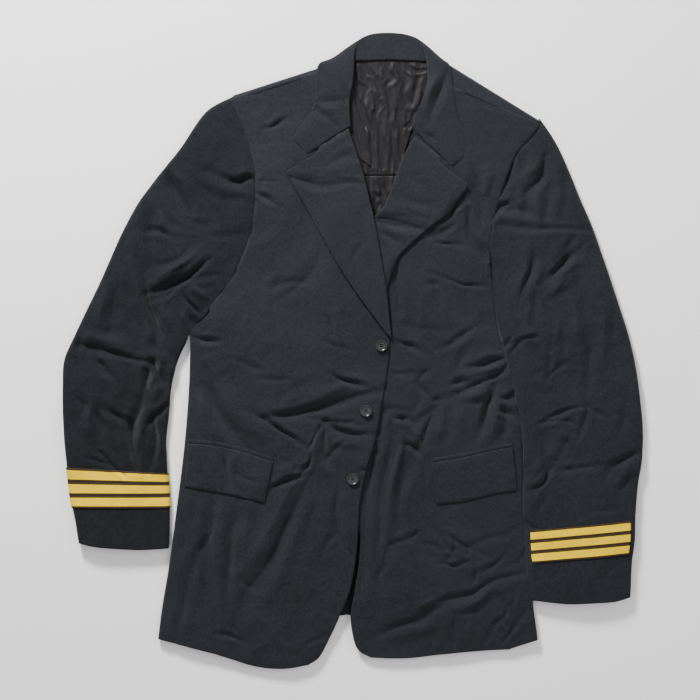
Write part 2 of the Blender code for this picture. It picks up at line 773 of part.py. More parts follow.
def main():
    for old in list(bpy.data.objects):
        bpy.data.objects.remove(old)
    jacket = bpy.data.collections.new("pilot_uniform_jacket")
    cutters = bpy.data.collections.new("cutters")
    bpy.context.scene.collection.children.link(jacket)
    bpy.context.scene.collection.children.link(cutters)

    origin = bpy.data.objects.new("jacket", None)
    origin.location = (-CENTRE_X * MM, -CENTRE_Y * MM, 0.0)
    jacket.objects.link(origin)

    wool = material("wool", WOOL, 0.85)
    satin = material("satin", SATIN, 0.45)
    gold = material("gold_braid", GOLD, 0.45, 0.6)
    horn = material("horn", HORN, 0.35)

    bodies = {
        "right": (-1, FRONT_RIGHT, HEM_RIGHT, SIDE_SEAM_RIGHT, BACK_SEAM_RIGHT, ARMHOLE_RIGHT),
        "left": (1, FRONT_LEFT, HEM_LEFT, SIDE_SEAM_LEFT, BACK_SEAM_LEFT, ARMHOLE_LEFT),
    }
    backs = {"right": (BACK_RIGHT, SHOULDER_SEAM_RIGHT), "left": (BACK_LEFT, SHOULDER_SEAM_LEFT)}
    folds = {"right": SIDE_FOLD_RIGHT, "left": SIDE_FOLD_LEFT}
    sleeves = {
        "right": (SLEEVE_RIGHT, ARMHOLE_RIGHT, CUFF_RIGHT, -1),
        "left": (SLEEVE_LEFT, ARMHOLE_LEFT, CUFF_LEFT, 1),
    }
    lapels = {"right": LAPEL_RIGHT, "left": LAPEL_LEFT}
    flaps = {"right": FLAP_RIGHT, "left": FLAP_LEFT}

    for name, (side, front, hem, seam, back_seam, armhole) in bodies.items():
        back, shoulder = backs[name]
        surface = front_surface(front, seam, armhole, hem, side)
        add_cloth(f"front_{name}", surface, 2 * len(front["edge_x"]) - 2, 5, wool, jacket)
        surface = back_surface(back, back_seam, armhole, shoulder, side)
        add_cloth(f"back_{name}", surface, 34, 4, wool, jacket)
        surface = side_surface(folds[name], seam, back_seam, armhole, side)
        add_cloth(f"side_{name}", surface, 14, 11, wool, jacket)
        surface = lapel_surface(lapels[name], front, side)
        add_cloth(f"lapel_{name}", surface, 12, 8, wool, jacket)
        add_cloth(f"flap_{name}", flap_surface(flaps[name]), 6, 2, wool, jacket)
        add_cloth(f"welt_{name}", welt_surface(flaps[name]), 6, 1, wool, jacket, LINING)

    for name, sleeve in sleeves.items():
        surface = sleeve_top_surface(*sleeve)
        add_cloth(f"sleeve_{name}_top", surface, SLEEVE_ROWS, SLEEVE_COLUMNS, wool, jacket)
        surface = sleeve_under_surface(*sleeve)
        add_cloth(f"sleeve_{name}_under", surface, SLEEVE_ROWS, 3, wool, jacket)
        for number in range(BRAID_COUNT):
            surface = braid_surface(sleeve, number)
            add_cloth(f"braid_{name}_{number + 1}", surface, 1, 24, gold, jacket, BRAID_THICK, ring=True)

    add_cloth("collar", collar_surface, 24, 6, wool, jacket)
    lining_z = BACK_Z + CLOTH / 2 + SEAM_GAP + LINING / 2
    surface = lining_surface(LINING_LOWER, "right", "left", lining_z)
    add_cloth("lining_back_lower", surface, 3, 2, satin, jacket, LINING)
    surface = lining_surface(LINING_UPPER, "right", "left", lining_z)
    add_cloth("lining_back_upper", surface, 4, 2, satin, jacket, LINING)
    surface = lining_surface(FACING_RIGHT, "outer", "inner", lining_z + LINING + 0.4)
    add_cloth("lining_front_right", surface, 8, 2, satin, jacket, LINING)

    for number, (x, y) in enumerate(zip(BUTTONS["x"], BUTTONS["y"]), start=1):
        add_button(number, x, y, horn, jacket, cutters)


main()
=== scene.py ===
import json
import math

import bmesh
import bpy
import numpy as np
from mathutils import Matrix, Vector, noise

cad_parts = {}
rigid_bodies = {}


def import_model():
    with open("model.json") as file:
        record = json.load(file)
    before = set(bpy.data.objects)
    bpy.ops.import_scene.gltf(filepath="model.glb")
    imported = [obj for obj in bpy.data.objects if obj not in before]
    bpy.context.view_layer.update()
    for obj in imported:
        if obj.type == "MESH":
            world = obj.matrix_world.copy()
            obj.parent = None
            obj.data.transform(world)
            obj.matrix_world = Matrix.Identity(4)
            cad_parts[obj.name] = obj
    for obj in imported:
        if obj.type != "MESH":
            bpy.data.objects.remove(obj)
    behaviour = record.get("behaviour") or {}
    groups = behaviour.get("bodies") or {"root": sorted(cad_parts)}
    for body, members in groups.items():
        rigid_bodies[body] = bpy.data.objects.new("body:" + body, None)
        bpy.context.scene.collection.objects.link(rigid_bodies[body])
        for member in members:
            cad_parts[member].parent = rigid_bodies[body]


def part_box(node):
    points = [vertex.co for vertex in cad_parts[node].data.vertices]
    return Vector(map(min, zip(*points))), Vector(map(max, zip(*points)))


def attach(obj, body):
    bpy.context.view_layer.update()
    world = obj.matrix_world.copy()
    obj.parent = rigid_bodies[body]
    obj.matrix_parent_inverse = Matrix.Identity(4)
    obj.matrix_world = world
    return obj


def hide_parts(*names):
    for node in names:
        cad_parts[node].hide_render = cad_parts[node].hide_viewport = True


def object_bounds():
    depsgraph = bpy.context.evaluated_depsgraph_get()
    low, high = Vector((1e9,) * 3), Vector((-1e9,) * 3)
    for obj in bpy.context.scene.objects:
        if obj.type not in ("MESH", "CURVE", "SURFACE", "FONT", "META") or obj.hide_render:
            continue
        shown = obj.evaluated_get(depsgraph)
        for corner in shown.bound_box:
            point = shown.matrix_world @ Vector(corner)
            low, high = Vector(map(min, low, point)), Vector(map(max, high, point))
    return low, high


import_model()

# A pilot's uniform jacket laid flat on its back. Tables are in mm on the jacket's own plan: X to its
# left side, Y from the hem up to the collar, Z up. Pieces are fine shells on the forms of the packed
# solids. Right and left are the wearer's.

CAD_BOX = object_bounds()
MM = 0.001
BODY = "root"

CLOTH = 1.5
SHELL = 1.1
LINING = 1.0
BACK_Z = CLOTH / 2
FRONT_Z = 8.6
PILLOW = 2.4
LAPEL_RISE = 2.7
LAYER = CLOTH + 0.35
SEAM = 0.04

HALF_BODY = 250.0
SHOULDER_Y = 330.0
HEM_Y = -430.0

SLEEVE_TOP_Z = 11.0
SLEEVE_PILLOW = 2.0
SLEEVE_WRAP = 25.0

BRAID_WIDTH = 11.2
BRAID_PITCH = 17.3
BRAID_THICK = 0.8
BRAID_COUNT = 3
BRAID_GAP = 0.45
BRAID_START = 55.0
CUFF_LIFT = BRAID_THICK + BRAID_GAP + 0.02

WELT_RISE = 5.5


def plan_zero():
    """Where the tables' zero stands: the middle button is 17 mm right of it and 82 mm below it."""
    low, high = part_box("button_2")
    return np.array([(low[0] + high[0]) / 2 / MM - 17.0, (low[1] + high[1]) / 2 / MM + 82.0, 0.0])


ZERO = plan_zero()


def table(columns, *rows):
    """A table with named columns, as one array for each name."""
    values = np.array(rows, dtype=float)
    return {name: values[:, i] for i, name in enumerate(columns.split())}


# Seams that run up the body, each as x for a height y.
SIDE_SEAM_RIGHT = table(
    "y x",
    (-440, -184), (-411, -187), (-324, -190), (-216, -191), (-124, -191), (-27, -190), (59, -190),
)
SIDE_SEAM_LEFT = table(
    "y x",
    (-440, 211), (-405, 209), (-320, 203), (-232, 196), (-148, 188), (-65, 183), (0, 181), (64, 188),
)
BACK_SEAM_RIGHT = table("y x", (-400, -211), (-286, -196), (-132, -179), (-3, -176), (78, -179))
BACK_SEAM_LEFT = table("y x", (-400, 198), (-286, 196), (-132, 188), (-3, 184), (78, 187))
ARMHOLE_RIGHT = table(
    "y x",
    (26, -222), (46, -199), (73, -182), (105, -157), (144, -140), (174, -132), (205, -129),
    (240, -129), (266, -134), (293, -142), (317, -152), (345, -164),
)
ARMHOLE_LEFT = table(
    "y x",
    (38, 195), (59, 189), (93, 183), (123, 180.5), (148, 181), (169, 184), (188, 189),
    (208, 195), (236, 204), (266, 217), (284, 232), (312, 256),
)
CENTRE_SEAM = table("y x", (-360, -9), (-202, -4), (-54, 4), (84, 18), (209, 31), (395, 47))
NECK_ROW = 9

# Fronts: the free edge from the hem to the neck, the height of the same row at the side, how far
# the row is lifted by what lies under its edge, and the cloth given up to the turn of the lapel.
FRONT_RIGHT = table(
    "edge_x edge_y side_y lift turn",
    (-62, -426, -411, 0.0, 0),
    (-47, -416, -396, 0.0, 0),
    (-34, -393, -376, 0.0, 0),
    (-18, -358, -350, 0.0, 0),
    (-3, -317, -316, 0.6, 0),
    (5, -263, -270, 2.2, 0),
    (8, -209, -216, 2.2, 0),
    (17, -162, -169, 2.2, 0),
    (29, -122, -124, 2.2, 0),
    (37, -78, -74, 2.2, 0),
    (44, -38, -27, 2.2, 0),
    (51, 7, 20, 2.4, 2.4),
    (48, 43, 57, 3.4, 3.0),
    (44, 81, 84, 4.7, 3.0),
    (37, 124, 108, 4.9, 3.0),
    (28, 173, 144, 4.9, 3.0),
    (20, 208, 177, 3.2, 3.0),
    (11, 243, 211, 1.4, 3.0),
    (1, 274, 242, 0.0, 3.0),
    (-13, 296, 267, 0.0, 0),
    (-25, 321, 293, 0.0, 0),
    (-34, 347, 316, 0.0, 0),
    (-43, 373, 337, 0.0, 0),
)
FRONT_LEFT = table(
    "edge_x edge_y side_y lift turn",
    (24, -416, -405, 0, 0),
    (9, -408, -394, 0, 0),
    (1, -394, -381, 0, 0),
    (-4, -360, -353, 0, 0),
    (2, -324, -320, 0, 0),
    (8, -284, -280, 0, 0),
    (8, -246, -232, 0, 0),
    (-2, -202, -192, 0, 0),
    (-9, -162, -148, 0, 0),
    (-9, -122, -108, 0, 0),
    (-2, -78, -65, 0, 0),
    (5, -34, -22, 0, 0),
    (11, 7, 23, 0, 0),
    (18, 47, 60, 0, 3.0),
    (20, 88, 90, 0, 3.0),
    (20, 132, 122, 0, 3.0),
    (25, 173, 155, 0, 4.2),
    (43, 197, 184, 0, 4.8),
    (55, 227, 208, 0, 4.8),
    (67, 259, 236, 0, 4.8),
    (80, 283, 256, 0, 2.4),
    (95, 304, 272, 0, 0),
    (111, 327, 286, 0, 0),
    (126, 354, 302, 0, 0),
)
HEM_RIGHT = table("x y", (-187, -411), (-165, -418), (-132, -428), (-96, -431), (-62, -426))
HEM_LEFT = table("x y", (209, -405), (171, -407), (125, -411), (70, -417), (24, -416))

# Backs: the centre seam, then the neck edge, against the height of the same row at the side.
CENTRE_ROWS = (
    (-9, -359, -392),
    (-6, -270, -286),
    (-2, -162, -170),
    (4, -54, -65),
    (14, 47, 38),
    (22, 124, 112),
)
BACK_RIGHT = table(
    "centre_x centre_y side_y",
    *CENTRE_ROWS,
    (31, 209, 186),
    (36, 256, 220),
    (43, 330, 258),
    (47, 389, 290),
    (17, 387, 306),
    (-11, 382, 322),
    (-43, 378, 340),
)
BACK_LEFT = table(
    "centre_x centre_y side_y",
    *CENTRE_ROWS,
    (31, 209, 188),
    (36, 256, 214),
    (43, 330, 244),
    (47, 389, 272),
    (74, 388, 284),
    (98, 386, 295),
    (124, 384, 306),
)
# The front end of the shoulder seam that the back wraps over to: neck end and armhole end.
SHOULDER_SEAM_RIGHT = table("x y", (-42, 376), (-159, 339))
SHOULDER_SEAM_LEFT = table("x y", (127, 357), (251, 305))

# Side bodies: the fold that they turn round, from the hem to the armpit.
SIDE_FOLD_RIGHT = table(
    "x y front_y back_y",
    (-264, -391, -411, -392),
    (-259, -350, -364, -350),
    (-249, -290, -300, -290),
    (-239, -215, -216, -220),
    (-228, -125, -124, -125),
    (-223, -60, -50, -50),
    (-221, -8, 14, 20),
    (-222, 26, 59, 75),
)
SIDE_FOLD_LEFT = table(
    "x y front_y back_y",
    (249, -392, -405, -392),
    (242, -340, -353, -340),
    (236, -290, -300, -290),
    (231, -205, -216, -215),
    (228, -125, -124, -125),
    (220, -66, -50, -50),
    (205, -3, 14, 20),
    (194, 36, 64, 75),
)

# Sleeves: the outer and inner fold at each section, from the sleeve head to the cuff.
SLEEVE_RIGHT = table(
    "outer_x outer_y inner_x inner_y",
    (-163, 343, -222, 26),
    (-200, 321, -225, 17),
    (-234, 272, -228, 8),
    (-264, 235, -232, 0),
    (-291, 198, -236, -9),
    (-313, 158, -240, -20),
    (-329, 122, -243, -32),
    (-344, 88, -246, -45),
    (-360, 55, -248, -58),
    (-376, 21, -249, -72),
    (-391, -14, -250, -86),
    (-393, -50, -252, -104),
    (-393, -84, -254, -124),
    (-391, -119, -253, -143),
    (-387, -158, -252, -166),
    (-383, -196, -250, -196),
    (-376, -230, -249, -232),
    (-371, -261, -250, -268),
)
SLEEVE_LEFT = table(
    "outer_x outer_y inner_x inner_y",
    (253, 310, 195, 38),
    (273, 279, 199, 25),
    (290, 242, 203, 11),
    (306, 203, 206, -3),
    (322, 167, 210, -18),
    (336, 128, 214, -34),
    (349, 90, 218, -49),
    (361, 54, 222, -66),
    (372, 19, 226, -85),
    (381, -20, 229, -105),
    (387, -63, 232, -128),
    (391, -106, 233, -153),
    (390, -146, 234, -178),
    (384, -186, 234, -207),
    (381, -223, 236, -238),
    (380, -256, 238, -269),
    (376, -290, 241, -301),
    (374, -334, 246, -338),
)
# Cuff edge, from the outer to the inner fold.
CUFF_RIGHT = table("x y", (-371, -261), (-348, -266), (-313, -269), (-284, -270), (-250, -268))
CUFF_LEFT = table("x y", (374, -334), (352, -340), (318, -342), (286, -343), (246, -338))

# Lapels: the roll line against the free edge.
LAPEL_RIGHT = table(
    "roll_x roll_y edge_x edge_y",
    (51, 16, 43, 24),
    (48, 43, 30, 42),
    (44, 81, 7, 73),
    (37, 124, -20, 114),
    (28, 173, -45, 159),
    (20, 208, -64, 193),
    (11, 243, -78, 217),
    (1, 274, -86, 233),
    (-5, 292, -89, 241),
)
LAPEL_LEFT = table(
    "roll_x roll_y edge_x edge_y",
    (20, 88, 45, 84),
    (20, 110, 52, 108),
    (20, 132, 61, 127),
    (22, 155, 78, 144),
    (27, 177, 102, 165),
    (43, 197, 129, 186),
    (55, 227, 142, 204),
    (67, 259, 151, 215),
    (79, 281, 155, 221),
)

# Collar, from the right gorge round the neck to the left gorge. Across it: the neck seam, the roll,
# the middle of the leaf and the leaf's edge, with a height for each.
COLLAR = table(
    "neck_x neck_y neck_z roll_x roll_y roll_z leaf_x leaf_y leaf_z edge_x edge_y edge_z",
    (-12, 299, 11.4, -5, 302, 12.6, -32, 285, 13.2, -62, 264, 12.2),
    (-18, 312, 11.2, -7, 322, 12.6, -43, 305, 13.6, -83, 286, 12.2),
    (-26, 334, 10.6, -6, 342, 12.2, -33, 334, 13.6, -56, 324, 12.2),
    (-30, 352, 8.6, -2, 358, 11.4, -26, 354, 13.4, -51, 350, 12.2),
    (-34, 380, 6.5, 0, 382, 10.0, -22, 384, 11.6, -48, 384, 11.0),
    (-20, 391, 5.4, 1, 402, 7.6, -14, 404, 6.4, -30, 392, 4.4),
    (0, 394, 4.6, 8, 418, 4.8, 2, 414, 2.0, -4, 391, 1.2),
    (22, 395, 4.3, 24, 427, 3.6, 23, 412, 1.1, 22, 393, 0.8),
    (47, 396, 4.3, 47, 429, 3.6, 47, 412, 1.1, 47, 394, 0.8),
    (72, 395, 4.3, 70, 427, 3.6, 71, 412, 1.1, 72, 394, 0.8),
    (92, 394, 4.6, 86, 420, 4.8, 93, 414, 2.0, 96, 392, 1.2),
    (110, 391, 5.4, 96, 406, 7.6, 108, 404, 6.4, 118, 392, 4.4),
    (120, 382, 6.5, 100, 384, 10.0, 115, 388, 11.6, 130, 384, 11.0),
    (118, 352, 8.8, 100, 362, 11.4, 117, 362, 13.4, 134, 358, 12.2),
    (110, 332, 10.6, 94, 340, 12.2, 116, 336, 13.6, 138, 328, 12.2),
    (96, 311, 11.2, 84, 314, 12.6, 113, 300, 13.6, 154, 264, 12.2),
    (86, 291, 11.4, 81, 298, 12.6, 106, 273, 13.2, 133, 248, 12.2),
)

# Linings that show in the neck: the right edge against the left edge, from the bottom upwards.
LINING_LOWER = table(
    "right_x right_y left_x left_y",
    (-10, 90, 44, 92),
    (-14, 130, 46, 132),
    (-16, 180, 52, 182),
    (-16, 236, 62, 236),
)
LINING_UPPER = table(
    "right_x right_y left_x left_y",
    (-16, 237, 62, 237),
    (-18, 280, 74, 284),
    (-22, 322, 90, 330),
    (-20, 355, 104, 360),
    (-6, 391, 98, 391),
)
FACING_RIGHT = table(
    "outer_x outer_y inner_x inner_y",
    (-2, 268, 24, 248),
    (-12, 290, 20, 280),
    (-20, 312, 12, 306),
    (-26, 340, 3, 332),
    (-28, 366, -2, 362),
)

# Flaps and their welts: the sewn corners and the free corners, from the front edge to the side.
FLAP_RIGHT = table(
    "sewn_x sewn_y free_x free_y",
    (-108, -151, -120, -207),
    (-152, -137, -160, -197),
    (-191, -129, -200, -190),
    (-224, -126, -228, -185),
)
FLAP_LEFT = table(
    "sewn_x sewn_y free_x free_y",
    (105, -152, 112, -208),
    (143, -146, 150, -204),
    (183, -137, 187, -195),
    (215, -131, 221, -189),
)

# Buttons, from the top one down.
BUTTONS = table("x y", (37.5, 6), (17, -82), (-1, -174))


# Curves and places. Shares run from 0 to 1 and may be arrays.


def smoothstep(low, high, value):
    share = np.clip((value - low) / (high - low), 0.0, 1.0)
    return share * share * (3.0 - 2.0 * share)


def mix(a, b, share):
    return a + (b - a) * share


def spread(share):
    """A share as a column beside plan points."""
    return np.asarray(share)[..., None]


def smooth_between(p0, p1, p2, p3, t):
    """The smooth curve from p1 (t = 0) to p2 (t = 1), with p0 before it and p3 after it."""
    bend = 2 * p0 - 5 * p1 + 4 * p2 - p3
    cubic = 3 * p1 - p0 - 3 * p2 + p3
    return 0.5 * (2 * p1 + (p2 - p0) * t + bend * t * t + cubic * t**3)


def along(column, share):
    """The smooth curve through a column's values, read at a share."""
    last = len(column) - 1
    ends = (2 * column[0] - column[1], 2 * column[-1] - column[-2])
    held = np.concatenate([[ends[0]], column, [ends[1]]])
    place = np.clip(share, 0.0, 1.0) * last
    start = np.minimum(place.astype(int), last - 1)
    t = place - start
    p0, p1, p2, p3 = (held[start + i] for i in range(4))
    return smooth_between(p0, p1, p2, p3, t)


def plan(entry, name, share):
    return np.stack([along(entry[name + "_x"], share), along(entry[name + "_y"], share)], axis=-1)


def path(entry, share):
    return np.stack([along(entry["x"], share), along(entry["y"], share)], axis=-1)


def flat_places(points):
    """x and y of every point, as two plain rows."""
    return points[..., 0].ravel(), points[..., 1].ravel()


def seam_x(seam, y, samples=161):
    """x of a seam at the height y."""
    shares = np.linspace(0.0, 1.0, samples)
    return np.interp(y, along(seam["y"], shares), along(seam["x"], shares))


def body_edge_x(seam, armhole, y):
    return np.where(y <= seam["y"][-1], seam_x(seam, y), seam_x(armhole, y))


def front_height(x, y):
    """Middle of the uppermost body cloth: low at the sides, hem and shoulders, fuller at the chest."""
    across = 1.0 - np.minimum(np.abs(x) / HALF_BODY, 1.0) ** 2
    ends = smoothstep(HEM_Y, HEM_Y + 120, y) * (1.0 - smoothstep(SHOULDER_Y - 130, SHOULDER_Y, y))
    return FRONT_Z + PILLOW * across * (0.35 + 0.65 * ends)


def joined(flat, z):
    return np.concatenate([flat, spread(np.broadcast_to(z, flat.shape[:-1]))], axis=-1)


# Forms. Each gives points in mm for u along the piece and v across it.


def front_form(entry, seam, armhole, hem, side):
    """A front, from its side seam (v = 0) to its free edge (v = 1). side is -1 for right and 1 for left."""

    def form(u, v):
        edge = plan(entry, "edge", u)
        edge[..., 0] += side * along(entry["turn"], u)
        side_y = along(entry["side_y"], u)
        sewn = np.stack([body_edge_x(seam, armhole, side_y) - side * SEAM / 2, side_y], axis=-1)
        point = mix(sewn, edge, spread(v))
        hem_share = 1.0 - smoothstep(0.0, 0.14, u)
        chord = mix(path(hem, np.zeros_like(v)), path(hem, np.ones_like(v)), spread(v))
        point += spread(hem_share) * (path(hem, v) - chord)
        lift = np.maximum(along(entry["lift"], u), 0.0) * smoothstep(-75.0, -25.0, point[..., 0])
        return joined(point, front_height(point[..., 0], point[..., 1]) + lift)

    return form


def back_form(entry, seam, armhole, shoulder, side):
    """A back, from the centre seam (v = 0) to the side; its top turns over the shoulder to the front."""
    turn_start = 0.76
    turn_end = 0.93

    def flat(u, v):
        centre = plan(entry, "centre", u)
        below_neck = u * (len(entry["side_y"]) - 1) <= NECK_ROW
        on_seam = seam_x(CENTRE_SEAM, centre[..., 1]) + side * SEAM / 2
        centre[..., 0] = np.where(below_neck, on_seam, centre[..., 0])
        side_y = along(entry["side_y"], u)
        sewn = np.stack([body_edge_x(seam, armhole, side_y) - side * SEAM / 2, side_y], axis=-1)
        return mix(centre, sewn, spread(v))

    def form(u, v):
        ones = np.ones_like(u)
        lying = joined(flat(np.minimum(u / turn_start, 1.0), v), BACK_Z)
        fold = flat(ones, v)
        line = flat(ones, ones) - flat(ones, ones * 0.0)
        out = np.stack([-line[..., 1], line[..., 0]], axis=-1) * side
        out /= np.linalg.norm(line, axis=-1, keepdims=True)
        radius = (front_height(fold[..., 0], fold[..., 1]) - BACK_Z) / 2
        angle = math.pi * np.clip((u - turn_start) / (turn_end - turn_start), 0.0, 1.0)
        turned = joined(fold + out * spread(radius * np.sin(angle)), BACK_Z + radius * (1 - np.cos(angle)))
        target = mix(path(shoulder, ones * 0.0), path(shoulder, ones), spread(v))
        over = mix(fold, target, spread(np.clip((u - turn_end) / (1.0 - turn_end), 0.0, 1.0)))
        over = joined(over, front_height(over[..., 0], over[..., 1]))
        return np.where(spread(u) <= turn_start, lying, np.where(spread(u) <= turn_end, turned, over))

    return form


def side_form(entry, front_seam, back_seam, armhole, side):
    """A side body, from its front seam round the fold at the side to its back seam."""
    flat_share = 0.36
    top = entry["y"][-1]

    def form(u, v):
        fold = path(entry, u)
        radius = (front_height(fold[..., 0], fold[..., 1]) - BACK_Z) / 2
        front = v < 0.5
        seam_y = np.where(front, along(entry["front_y"], u), along(entry["back_y"], u))
        sewn_x = np.where(front, seam_x(front_seam, seam_y), seam_x(back_seam, seam_y))
        edge = np.stack([sewn_x + side * SEAM / 2, seam_y], axis=-1)
        run = edge - fold
        run /= np.linalg.norm(run, axis=-1, keepdims=True)
        centre = fold + run * spread(radius)
        angle = math.pi * np.clip((v - flat_share) / (1.0 - 2 * flat_share), 0.0, 1.0)
        round_point = centre - run * spread(radius * np.sin(angle))
        across = np.where(front, v, 1.0 - v) / flat_share
        flat_point = mix(edge, centre, spread(np.clip(across, 0.0, 1.0)))
        turning = (v > flat_share) & (v < 1.0 - flat_share)
        point = np.where(spread(turning), round_point, flat_point)
        share = smoothstep(0.8, 1.0, u)
        reach = edge[..., 1] - fold[..., 1]
        reach = np.where(np.abs(reach) < 0.01, 0.01, reach)
        row = np.clip((point[..., 1] - fold[..., 1]) / reach, -1.0, 1.0)
        shift = seam_x(armhole, mix(top, seam_y, row))
        shift = shift - mix(seam_x(armhole, top), seam_x(armhole, seam_y), row)
        point[..., 0] += (shift - side * 0.6 * (1.0 - row)) * share
        upper = np.where(front, front_height(point[..., 0], point[..., 1]), BACK_Z)
        return joined(point, np.where(turning, BACK_Z + radius * (1.0 + np.cos(angle)), upper))

    return form


def sleeve_row(sleeve, u, share):
    """A place on a sleeve's plan: u from head to cuff, share from the outer to the inner fold."""
    entry, armhole, cuff, side = sleeve
    point = mix(plan(entry, "outer", u), plan(entry, "inner", u), spread(share))
    head = 1.0 - smoothstep(0.0, mix(0.42, 0.09, share * share), u)
    y = mix(entry["outer_y"][0], entry["inner_y"][0], share)
    chord = mix(entry["outer_x"][0], entry["inner_x"][0], share)
    point[..., 0] += head * (seam_x(armhole, y) - chord + side * SEAM)
    straight = mix(path(cuff, share * 0.0), path(cuff, share * 0.0 + 1.0), spread(share))
    point += spread(smoothstep(0.9, 1.0, u)) * (path(cuff, share) - straight)
    limit = seam_x(armhole, point[..., 1]) + side * SEAM
    clear = np.maximum if side > 0 else np.minimum
    point[..., 0] = clear(point[..., 0], limit)
    return point


def sleeve_section(sleeve, u, offset=0.0):
    """Width, lowest and highest heights, and how far each ring has reached the sleeve's full form."""
    entry = sleeve[0]
    width = np.linalg.norm(plan(entry, "inner", u) - plan(entry, "outer", u), axis=-1)
    lifted = CUFF_LIFT * smoothstep(0.68, 0.75, u)
    low = BACK_Z + lifted - offset
    full = smoothstep(0.0, 0.16, u)
    middle = sleeve_row(sleeve, u, np.full_like(u, 0.5))
    high = mix(front_height(middle[..., 0], middle[..., 1]), SLEEVE_TOP_Z + lifted, full) + offset
    return width, low, high, full


def sleeve_top(sleeve, u, share, offset=0.0):
    """The upper layer of a ring, between the two folds."""
    width, low, high, full = sleeve_section(sleeve, u, offset)
    radius = (high - low) / 2
    distance = mix(radius, width - radius, share)
    point = sleeve_row(sleeve, u, distance / width)
    body = front_height(point[..., 0], point[..., 1]) + offset
    fuller = high + SLEEVE_PILLOW * 4 * share * (1 - share) * full
    near_head = mix(body, high, np.abs(2 * share - 1) ** 3)
    return joined(point, mix(near_head, fuller, full))


def sleeve_turn(sleeve, u, at_inner, angle, offset=0.0):
    """A fold of a ring: the angle runs from -90 degrees underneath to 90 on top."""
    width, low, high, _ = sleeve_section(sleeve, u, offset)
    radius = (high - low) / 2
    reach = (radius + offset) * np.cos(angle)
    distance = np.where(at_inner, width - radius + reach, radius - reach)
    return joined(sleeve_row(sleeve, u, distance / width), low + radius + radius * np.sin(angle))


def sleeve_under(sleeve, u, share, wrap=None, offset=0.0):
    """The lower layer of a ring, between the folds, or between seams that stand wrap in from them."""
    width, low, high, _ = sleeve_section(sleeve, u, offset)
    inset = (high - low) / 2 if wrap is None else wrap
    distance = mix(inset, width - inset, share)
    return joined(sleeve_row(sleeve, u, distance / width), low)


def sleeve_top_form(sleeve):
    """The upper piece of a sleeve: from its outer seam underneath, over both folds, to its inner seam."""
    strip = 0.06
    fold = 0.10

    def form(u, v):
        width, low, high, _ = sleeve_section(sleeve, u)
        radius = (high - low) / 2
        top = sleeve_top(sleeve, u, np.clip((v - strip - fold) / (1 - 2 * strip - 2 * fold), 0.0, 1.0))
        near = np.minimum(v, 1.0 - v)
        angle = math.pi * (np.clip((near - strip) / fold, 0.0, 1.0) - 0.5)
        turn = sleeve_turn(sleeve, u, v > 0.5, angle)
        inset = mix(SLEEVE_WRAP - SEAM, radius, np.clip(near / strip, 0.0, 1.0))
        distance = np.where(v > 0.5, width - inset, inset)
        under = joined(sleeve_row(sleeve, u, distance / width), low)
        near = spread(near)
        return np.where(near <= strip, under, np.where(near <= strip + fold, turn, top))

    return form


def sleeve_under_form(sleeve):
    return lambda u, v: sleeve_under(sleeve, u, v, wrap=SLEEVE_WRAP + SEAM)


def braid_form(sleeve, number):
    """One stripe of braid: a closed band round the sleeve, just clear of its cloth."""
    entry = sleeve[0]
    length = float(np.sum(np.hypot(np.diff(entry["outer_x"][-4:]), np.diff(entry["outer_y"][-4:]))))
    share_per_mm = 3 / (len(entry["outer_x"]) - 1) / length
    offset = CLOTH / 2 + 0.25 + BRAID_THICK / 2

    def form(u, v):
        row = 1.0 - (BRAID_START + BRAID_PITCH * number + BRAID_WIDTH * u) * share_per_mm
        quarter = v * 4
        top = sleeve_top(sleeve, row, np.clip(quarter, 0.0, 1.0), offset)
        inner = sleeve_turn(sleeve, row, True, math.pi * (0.5 - np.clip(quarter - 1, 0.0, 1.0)), offset)
        under = sleeve_under(sleeve, row, 1.0 - np.clip(quarter - 2, 0.0, 1.0), offset=offset)
        outer = sleeve_turn(sleeve, row, False, math.pi * (np.clip(quarter - 3, 0.0, 1.0) - 0.5), offset)
        quarter = spread(quarter)
        return np.where(quarter < 1, top, np.where(quarter < 2, inner, np.where(quarter < 3, under, outer)))

    return form


def lapel_lift(front, side, y):
    return 0.0 * y if side > 0 else np.interp(y, front["edge_y"], front["lift"])


def lapel_form(entry, front, side):
    """A lapel: it turns over the front's edge at the roll line (v = 0) and lies on the front."""
    turn_share = 0.16
    radius = LAPEL_RISE / 2

    def form(u, v):
        roll = plan(entry, "roll", u)
        edge = plan(entry, "edge", u)
        run = edge - roll
        run /= np.linalg.norm(run, axis=-1, keepdims=True)
        inner = roll + run * radius
        angle = math.pi * np.clip(v / turn_share, 0.0, 1.0)
        rolled = inner - run * spread(radius * np.sin(angle))
        lying = mix(inner, edge, spread(np.clip((v - turn_share) / (1 - turn_share), 0.0, 1.0)))
        point = np.where(spread(v < turn_share), rolled, lying)
        x = point[..., 0]
        y = point[..., 1]
        lift = lapel_lift(front, side, y) * smoothstep(-75.0, -25.0, x)
        return joined(point, front_height(x, y) + lift + radius * (1 - np.cos(angle)))

    return form


def straight_along(values, u):
    """The value at share u of a column, straight from each row to the next, so that corners stay sharp."""
    return np.interp(u, np.linspace(0.0, 1.0, len(values)), values)


